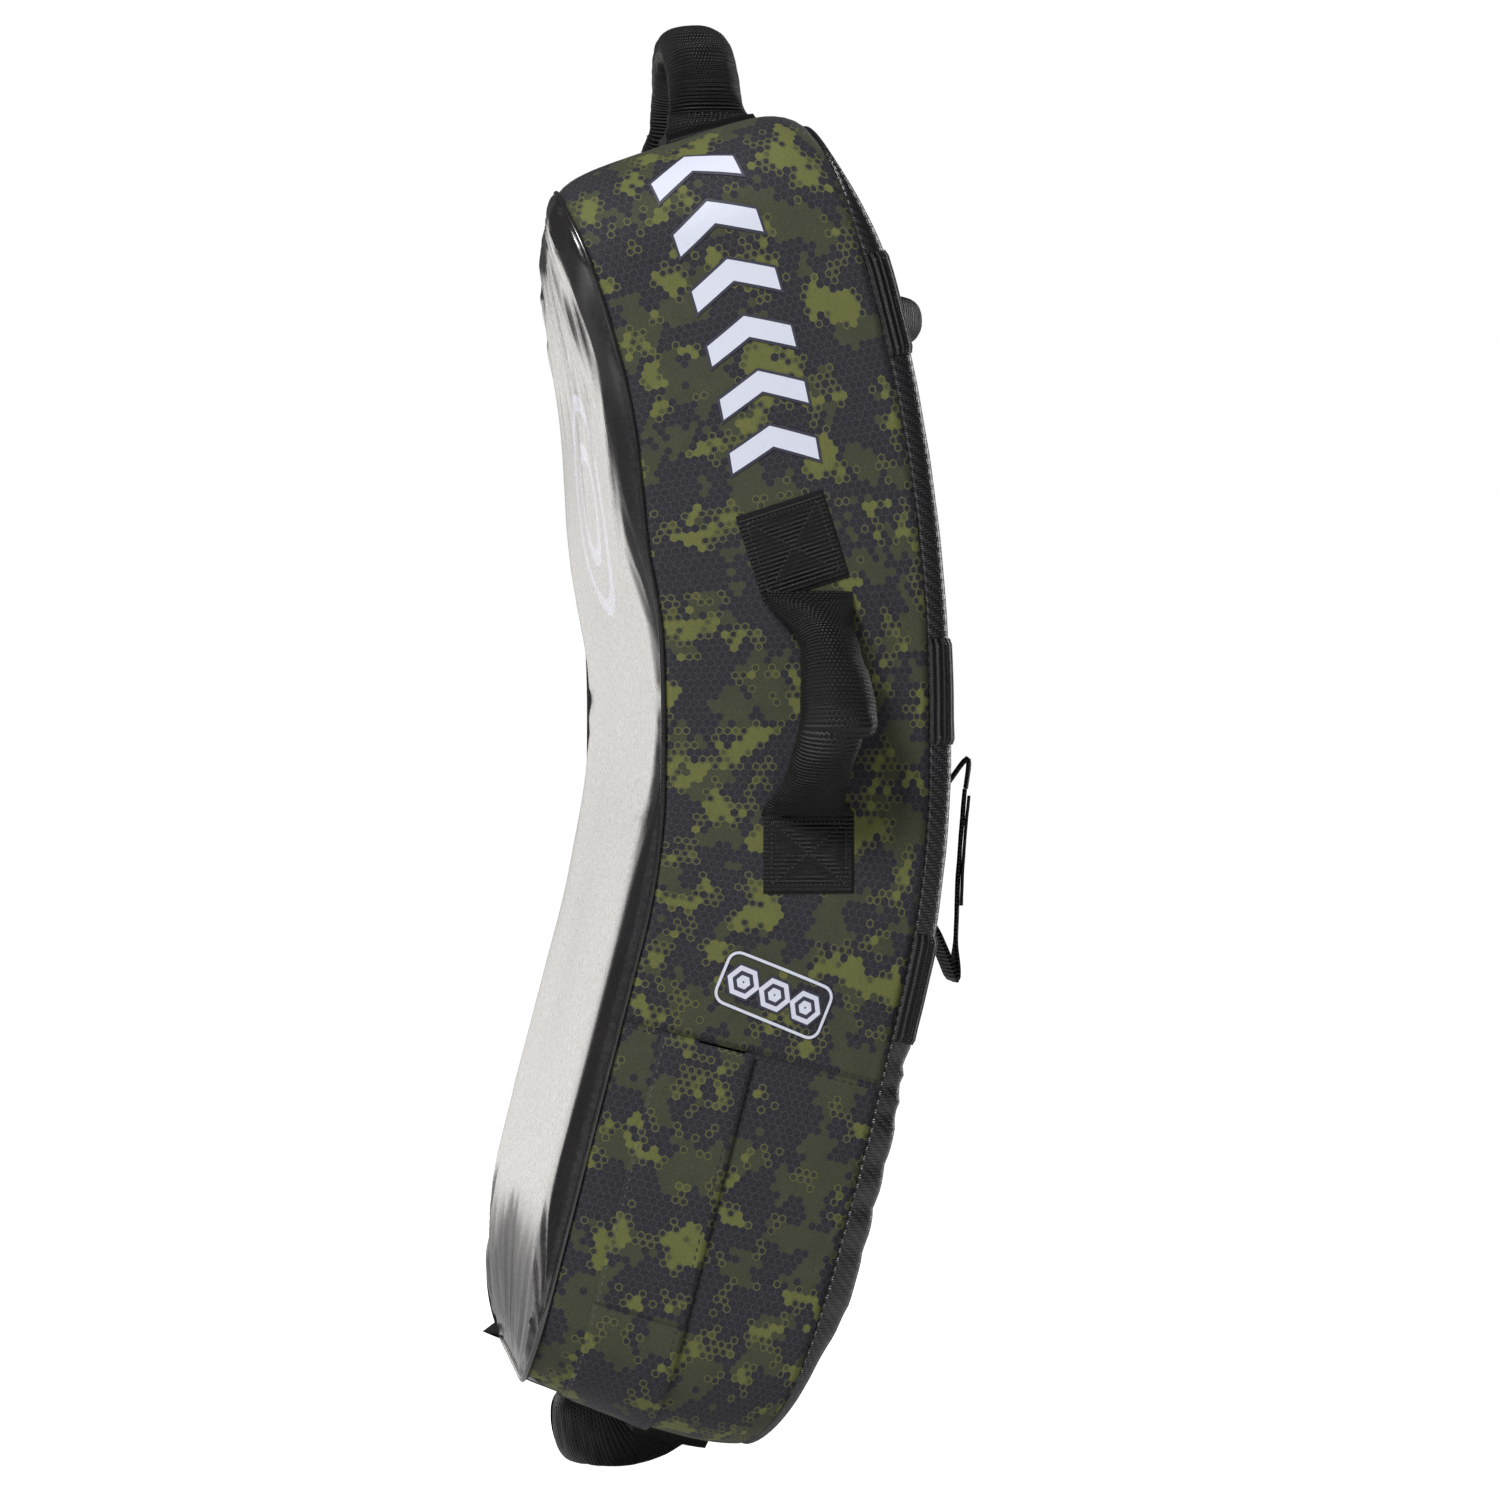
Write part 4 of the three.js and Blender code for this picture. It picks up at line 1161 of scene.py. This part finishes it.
def build_end_handle(top):
    name = "top_handle" if top else "bottom_handle"
    spot = EndHandle(top)
    for side in (-1, 1):
        middle = (10 if top else 0, side * 66)
        webbing_patch(f"{name}_{hand(side)}", spot, middle, 0.0, 36, 56, lift=6.0 if top else 7.5)
        knots = mirrored(TOP_HALF_KNOTS if top else BOTTOM_HALF_KNOTS, side)
        seams = (10.0, 20.5) if top else (9.0,)
        cloth = f"{name}_cloth_{hand(side)}"
        half = sleeve(cloth, spot.place, knots, seed=11.0 + side + 3 * top, seams=seams)
        if top:
            bend = (spot.place(0, 0, 13), spot.place(0, 0, 30))
        else:
            bend = (spot.origin + spot.across * side * 48, spot.origin + spot.across * side * 34)
        nodes = (f"{name}_sleeve", f"{name}_strap") if side < 0 else (f"{name}_padding",)
        fit(half, "sleeve", *nodes, body=name, blend=bend)


# ---- the holder's side
BAND_LENGTHS = {"upper": 222.0, "middle": 25.0, "lower": -120.0}
BAND_HALF = 27.0


def build_band(name, length):
    """A band across the back, turned round both its edges into the seam."""
    rows = spaced(length - BAND_HALF, length + BAND_HALF, 3.0)
    edge = spaced(0.5, ROLL_RUN, ROLL_STEP)
    columns = [d - FLAT_HALF_WIDTH for d in edge]
    columns += spaced(ROLL_RUN - FLAT_HALF_WIDTH, FLAT_HALF_WIDTH - ROLL_RUN, FACE_STEP)[1:-1]
    columns += [FLAT_HALF_WIDTH - d for d in reversed(edge)]

    def place(row, column):
        rim = min(row - rows[0], rows[-1] - row)
        out = 0.5 + 1.3 * smooth(-1, 2.5, rim) + 0.35 * ripple(row / 20, column / 30, 8.8)
        return back_point(row, column, out)

    band = grid_sheet(f"{name}_band", rows, columns, place, lambda row, column: (column, row), WEBBING)
    seams = []
    reach = FLAT_HALF_WIDTH - 2
    for k, inset in enumerate((4.0, 2 * BAND_HALF - 4.0)):
        def along(t, at=length - BAND_HALF + inset):
            return raised(lambda out: back_point(at, t, out), 1.75)
        seams.append(stitch_row(f"{name}_band_seam_{k}", along, -reach, reach, 3.4, GREY_THREAD, size=0.4))
    fit(join_pieces(band, seams), "webbing", f"{name}_back_band")


def build_grip():
    spot = BackSpot(BAND_LENGTHS["upper"], 2.8, math.radians(14))
    for side in (-1, 1):
        webbing_patch(f"back_grip_{hand(side)}", spot, (0, side * 67), 0.0, 30, 38)
        knots = mirrored(GRIP_HALF_KNOTS, side)
        cloth = f"back_grip_cloth_{hand(side)}"
        half = sleeve(cloth, spot.leaning, knots, sides=28, seed=23.0 + side, wrinkle=0.7)
        inner = "back_grip_strap" if side < 0 else "back_grip_padding"
        bend = (spot.place(0, side * 54, 0), spot.place(0, side * 38, 0))
        fit(half, "sleeve", "back_grip_sleeve", inner, body="back_grip", blend=bend)


# ---- forearm straps
STRAP_LENGTH = -61.0  # where the straps' middle is, along the shield
STRAP_WIDTH = 72.0  # how far each is from the shield's middle
STRAP_TWIST = 0.19

# Each path is (out of the back, up the shield).
LOOP_PATH = [
    (22.0, 46), (22.4, 57), (21.6, 62.5), (18.6, 61), (11, 48), (4, 36), (1.2, 24), (1.0, 4), (1.2, -14),
    (4.5, -27), (12.5, -38.5), (21, -54), (25.2, -61.5), (26.8, -57), (25.0, -34), (23.2, -8), (22.2, 14),
    (21.8, 32), (21.6, 45.5),
]
TAIL_PATH = [(23.8, 42), (23.8, 36), (23.8, 28), (24.4, 8), (25.4, -12), (26.0, -20)]


def ribbon(name, path, width_at, half_width, thickness, material):
    """A strap along a path, broad along an axis given for each share of it, its edges a little rolled."""
    last = len(path) * 24 - 1
    fine = [Vector(spline(path, k / last)) for k in range(last + 1)]
    travelled = travel(fine)
    count = max(8, int(travelled[-1] / 2.0))
    stations = []
    k = 0
    for i in range(count + 1):
        reach = travelled[-1] * i / count
        while k < last - 1 and travelled[k + 1] < reach:
            k += 1
        f = (reach - travelled[k]) / max(travelled[k + 1] - travelled[k], 1e-6)
        stations.append((fine[k].lerp(fine[k + 1], min(f, 1.0)), reach))
    columns = spaced(-half_width, half_width, 2.5)

    def place(i, j):
        along = stations[min(i + 1, count)][0] - stations[max(i - 1, 0)][0]
        width_axis = width_at(i / count)
        normal = along.cross(width_axis).normalized()
        share = columns[j] / half_width
        curl = 0.5 * share**2 + 0.3 * ripple(stations[i][1] / 14, columns[j] / 14, 3.3)
        return stations[i][0] + width_axis * columns[j] + normal * curl

    def texture(i, j):
        return stations[i][1], columns[j]

    return thicken(sheet(name, count + 1, len(columns), place, texture, material), thickness, offset=0.0)


def build_forearm(side):
    """A leaf-shaped loop, twisted where it stands away from the back, with its tail lying on it."""
    up, across, back = bent_axes(STRAP_LENGTH)
    origin = bent(STRAP_LENGTH, side * STRAP_WIDTH, HALF_DEPTH + CROWN + 2.8)
    twisted = (across - back * STRAP_TWIST * side).normalized()

    def laid(path):
        return [origin + back * out + up * along for out, along in path]

    def loop_axis(t):
        inner_run = smooth(0.12, 0.3, t) * (1 - smooth(0.56, 0.7, t))
        return twisted.lerp(across, inner_run).normalized()

    loop = ribbon(f"{hand(side)}_loop_strap", laid(LOOP_PATH), loop_axis, 20.0, 2.2, WEBBING)
    fit(loop, "webbing", f"{hand(side)}_forearm_loop")
    tail = ribbon(f"{hand(side)}_tail_strap", laid(TAIL_PATH), lambda t: twisted, 19.0, 1.3, HOOK)
    fit(tail, "hook_tape", f"{hand(side)}_forearm_tail", body=f"{hand(side)}_forearm_tail")


# ---- zip flap
FLAP_FOOT = -LOWER_LENGTH + CORNER + 6.0


def flap_out(s, depth):
    """The flap's lift off the gusset: tight at its hinge, a little proud and wavy at its free edge."""
    share = (depth - FLAP_HINGE) / (FLAP_EDGE - FLAP_HINGE)
    out = 1.5 + 0.9 * smooth(0.5, 1.0, share) + 0.5 * ripple(s / 24, share, 12.1) * share
    return out - 0.8 * math.exp(-((share * 9) ** 2))


def flap_part(name, s_from, s_to):
    rows = spaced(s_from, s_to, 4.0)
    columns = spaced(FLAP_HINGE, FLAP_EDGE, (FLAP_EDGE - FLAP_HINGE) / 16)

    def place(s, depth):
        return gusset_point(s, depth, flap_out(s, depth))

    part = thicken(grid_sheet(name, rows, columns, place, plain, CAMO), 1.3)
    seams = []
    hems = ((FLAP_HINGE + 2.5, 0.1, GREY_THREAD), (FLAP_EDGE - 4.5, 0.15, THREAD))
    for k, (depth, lift, thread) in enumerate(hems):
        def along(s, depth=depth, lift=lift):
            return raised(lambda out: gusset_point(s, depth, out), flap_out(s, depth) + lift)
        seams.append(stitch_row(f"{name}_seam_{k}", along, s_from, s_to, 4.6, thread))
    return join_pieces(part, seams)


def build_flap():
    top = near(CROSS_SEAM - 1.0)
    foot = near(FLAP_FOOT)
    fit(flap_part("flap_round_bottom", -foot, foot), "camo_fabric", "bottom_zip_flap")
    for side in (-1, 1):
        name = f"{hand(side)}_zip_flap"
        leg = flap_part(f"{name}_leg", foot, top) if side < 0 else flap_part(f"{name}_leg", -top, -foot)
        low = bent(FLAP_FOOT, side * WIDTH / 2, FLAP_HINGE)
        high = bent(FLAP_FOOT + 45, side * WIDTH / 2, FLAP_HINGE)
        fit(leg, "camo_fabric", name, body=name, blend=(low, high))


def build_stitching():
    """Two rows of thread across each side, above and below the cross seam."""
    rows = []
    for side in (-1, 1):
        for k, offset in enumerate((-2.2, 2.4)):
            def along(depth, s=-side * near(CROSS_SEAM + offset)):
                return raised(lambda out: gusset_point(s, depth, out), 0.15)
            rows.append(stitch_row(f"cross_seam_{side}_{k}", along, -73.0, 73.0, 4.6, THREAD))
    stitching = join_pieces(rows[0], rows[1:])
    stitching.name = "cross_seam_thread"
    fit(stitching, "webbing")


# ---- prints
CHEVRONS = 6
CHEVRON_LOW = 150.0
CHEVRON_PITCH = 30.5
CHEVRON_DEPTH = -2.0
CHEVRON_HALF = 24.0
CHEVRON_RISE = 11.0
CHEVRON_LINE = 11.5
BADGE_LENGTH = -139.0
BADGE_DEPTH = 2.5
BADGE_TILT = math.radians(8)
BADGE_PITCH = 18.5
PRINT_OUT = 0.75
EDGE_OUT = 0.5


def signed_area(loop):
    return sum(a[0] * b[1] - b[0] * a[1] for a, b in zip(loop, loop[1:] + loop[:1]))


def flat_print(name, outlines, on_surface, material):
    """Shapes laid on a surface: each outline is a loop of (a, b) corners, cut into small faces."""
    mesh = bmesh.new()
    for loop in outlines:
        facing = loop if signed_area(loop) < 0 else loop[::-1]
        mesh.faces.new([mesh.verts.new((a, b, 0)) for a, b in facing])
    for axis in (0, 1):
        reach = [point[axis] for loop in outlines for point in loop]
        normal = [1.0 if k == axis else 0.0 for k in range(3)]
        for at in spaced(min(reach), max(reach), 2.2)[1:-1]:
            spot = [at * share for share in normal]
            geometry = mesh.verts[:] + mesh.edges[:] + mesh.faces[:]
            bmesh.ops.bisect_plane(mesh, geom=geometry, plane_co=spot, plane_no=normal)
    for vert in mesh.verts:
        vert.co = on_surface(vert.co.x, vert.co.y) * MM
    mesh.normal_update()
    data = bpy.data.meshes.new(name)
    mesh.to_mesh(data)
    mesh.free()
    fit(link(data, name, material), "camo_fabric")


def grown(loop, by):
    """A convex or chevron loop moved out by a distance along its corners' bisectors."""
    sign = 1 if signed_area(loop) > 0 else -1
    out = []
    for k, point in enumerate(loop):
        here = Vector(point)
        first = (here - Vector(loop[k - 1])).normalized()
        second = (Vector(loop[(k + 1) % len(loop)]) - here).normalized()
        n1 = Vector((first.y, -first.x)) * sign
        n2 = Vector((second.y, -second.x)) * sign
        both = (n1 + n2).normalized()
        out.append(tuple(here + both * by / max(both.dot(n1), 0.35)))
    return out


def chevron(low):
    """One chevron, its point up the shield."""
    back, front = CHEVRON_DEPTH - CHEVRON_HALF, CHEVRON_DEPTH + CHEVRON_HALF
    high = low + CHEVRON_LINE
    return [
        (low, back), (high, back), (high + CHEVRON_RISE, CHEVRON_DEPTH),
        (high, front), (low, front), (low + CHEVRON_RISE, CHEVRON_DEPTH),
    ]


def between(outer, inner):
    """Four-cornered pieces that fill the band between two loops of as many corners."""
    corners = zip(outer, outer[1:] + outer[:1], inner, inner[1:] + inner[:1])
    return [[a, b, d, c] for a, b, c, d in corners]


def hexagon(middle, radius):
    turns = [math.pi / 3 * k for k in range(6)]
    return [(radius * math.sin(turn), middle + radius * math.cos(turn)) for turn in turns]


def rounded_rectangle(half_b, half_a, corner, inset):
    """A rounded rectangle's outline, moved in by an inset."""
    rim = []
    for k, (sign_a, sign_b) in enumerate(((1, 1), (-1, 1), (-1, -1), (1, -1))):
        for i in range(6):
            turn = math.pi / 2 * (k + i / 5)
            a = sign_a * (half_a - corner) + (corner - inset) * math.cos(turn)
            b = sign_b * (half_b - corner) + (corner - inset) * math.sin(turn)
            rim.append((a, b))
    return rim


def build_prints(side):
    """Chevrons up the gusset, and a tilted badge of three hexagons in a frame above the cross seam."""
    def on_gusset(length, depth, out):
        return gusset_point(-side * near(length), depth, out)

    def on_badge(a, b, out):
        length = BADGE_LENGTH + a * math.cos(BADGE_TILT) - b * math.sin(BADGE_TILT)
        depth = BADGE_DEPTH + a * math.sin(BADGE_TILT) + b * math.cos(BADGE_TILT)
        return on_gusset(length, depth, out)

    def lay(name, outlines, place, out, material):
        flat_print(f"{hand(side)}_{name}", outlines, lambda a, b: place(a, b, out), material)

    chevrons = [chevron(CHEVRON_LOW + CHEVRON_PITCH * k) for k in range(CHEVRONS)]
    lay("chevrons", chevrons, on_gusset, PRINT_OUT, PRINT)
    lay("chevron_edges", [grown(loop, 1.5) for loop in chevrons], on_gusset, EDGE_OUT, PRINT_EDGE)
    marks = []
    backs = []
    for middle in (-BADGE_PITCH, 0.0, BADGE_PITCH):
        marks += between(hexagon(middle, 9.4), hexagon(middle, 6.4))
        marks += between(hexagon(middle, 4.0), hexagon(middle, 0.6))
        backs.append(hexagon(middle, 10.8))
    rim = between(rounded_rectangle(31.5, 15.5, 7.0, 0.0), rounded_rectangle(31.5, 15.5, 7.0, 1.6))
    lay("badge", marks, on_badge, PRINT_OUT, PRINT)
    lay("badge_edge", backs, on_badge, EDGE_OUT, PRINT_EDGE)
    lay("badge_frame", rim, on_badge, PRINT_OUT, PRINT)


def finish_cad_nodes():
    """The zip's own parts stay as they are and take detailed finishes."""
    looks = {"zip_tape": (TAPE, "zip_tape"), "zip_coil": (COIL, "zip_coil")}
    for node in ("zip_stop_left", "zip_stop_right", "zip_slider", "zip_pull"):
        looks[node] = (METAL, "zip_metal")
    for node, (material, slot) in looks.items():
        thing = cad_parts[node]
        thing.data.materials.clear()
        thing.data.materials.append(material)


# ---- build
build_gussets()
build_faces()
build_cord()
for side in (-1, 1):
    build_side_handle(side)
    build_forearm(side)
build_end_handle(True)
build_end_handle(False)
for name, length in BAND_LENGTHS.items():
    build_band(name, length)
build_grip()
build_flap()
build_stitching()
build_prints(-1)
build_prints(1)
finish_cad_nodes()


# ---- camera, light and floor, in metres
EYE = Vector((-0.377, -3.144, -0.005))
AIM = Vector((0.056, -0.175, -0.005))
FLOOR_REACH = 60.0
FLOOR_GAP = 0.012
FLOOR_GLOW = 0.93  # how brightly the floor shows to the camera alone
SKY_LIGHT = 0.12


def aimed(name, data, place, aim):
    thing = bpy.data.objects.new(name, data)
    bpy.context.scene.collection.objects.link(thing)
    thing.location = place
    thing.rotation_euler = (Vector(aim) - Vector(place)).to_track_quat("-Z", "Y").to_euler()
    return thing


def build_camera():
    data = bpy.data.cameras.new("camera")
    data.lens = 132.6
    data.sensor_width = 36.0
    bpy.context.scene.camera = aimed("camera", data, EYE, AIM)


def build_sky():
    """A sky that is white to the camera and dim to everything else."""
    world = bpy.data.worlds.new("studio")
    world.use_nodes = True
    nodes = world.node_tree.nodes
    links = world.node_tree.links
    glow = nodes["Background"]
    glow.inputs[0].default_value = (1, 1, 1, 1)
    rays = nodes.new("ShaderNodeLightPath")
    strength = nodes.new("ShaderNodeMapRange")
    strength.inputs["To Min"].default_value = SKY_LIGHT
    strength.inputs["To Max"].default_value = 1.0
    links.new(rays.outputs["Is Camera Ray"], strength.inputs["Value"])
    links.new(strength.outputs[0], glow.inputs[1])
    bpy.context.scene.world = world
    bpy.context.scene.view_settings.view_transform = "Standard"


def area_light(name, place, aim, size, power, tint=(1.0, 1.0, 1.0)):
    data = bpy.data.lights.new(name, "AREA")
    data.shape = "RECTANGLE"
    data.size, data.size_y = size
    data.energy = power
    data.color = tint
    aimed(name, data, place, aim).visible_camera = False


def build_floor():
    g = Graph("floor")
    tone = g.noise(g.place(), 900.0)
    g.finish(
        Base_Color=g.mix(tone, (0.9, 0.9, 0.9, 1), (0.94, 0.94, 0.94, 1)),
        Roughness=0.95,
        Specular_IOR_Level=0.1,
        Emission_Color=(1, 1, 1, 1),
        Emission_Strength=g.math("MULTIPLY", g.named("LightPath"), FLOOR_GLOW),
    )
    z = cad_box[0][2] - FLOOR_GAP
    corners = [(x * FLOOR_REACH, y * FLOOR_REACH, z) for x, y in ((-1, -1), (1, -1), (1, 1), (-1, 1))]
    mesh = bpy.data.meshes.new("floor")
    mesh.from_pydata(corners, [], [(0, 1, 2, 3)])
    return link(mesh, "floor", g.material)


build_camera()
build_sky()
area_light("key", (-1.2, -1.9, 1.8), (0.05, 0, 0), (0.8, 0.8), 92)
area_light("behind_left", (-0.85, 3.3, -0.03), (0, 0, 0), (1.3, 0.9), 7, (1.0, 0.97, 0.94))
area_light("behind_right", (1.7, 0.9, 0.5), (0.1, 0, 0), (0.4, 1.8), 16)
build_floor()
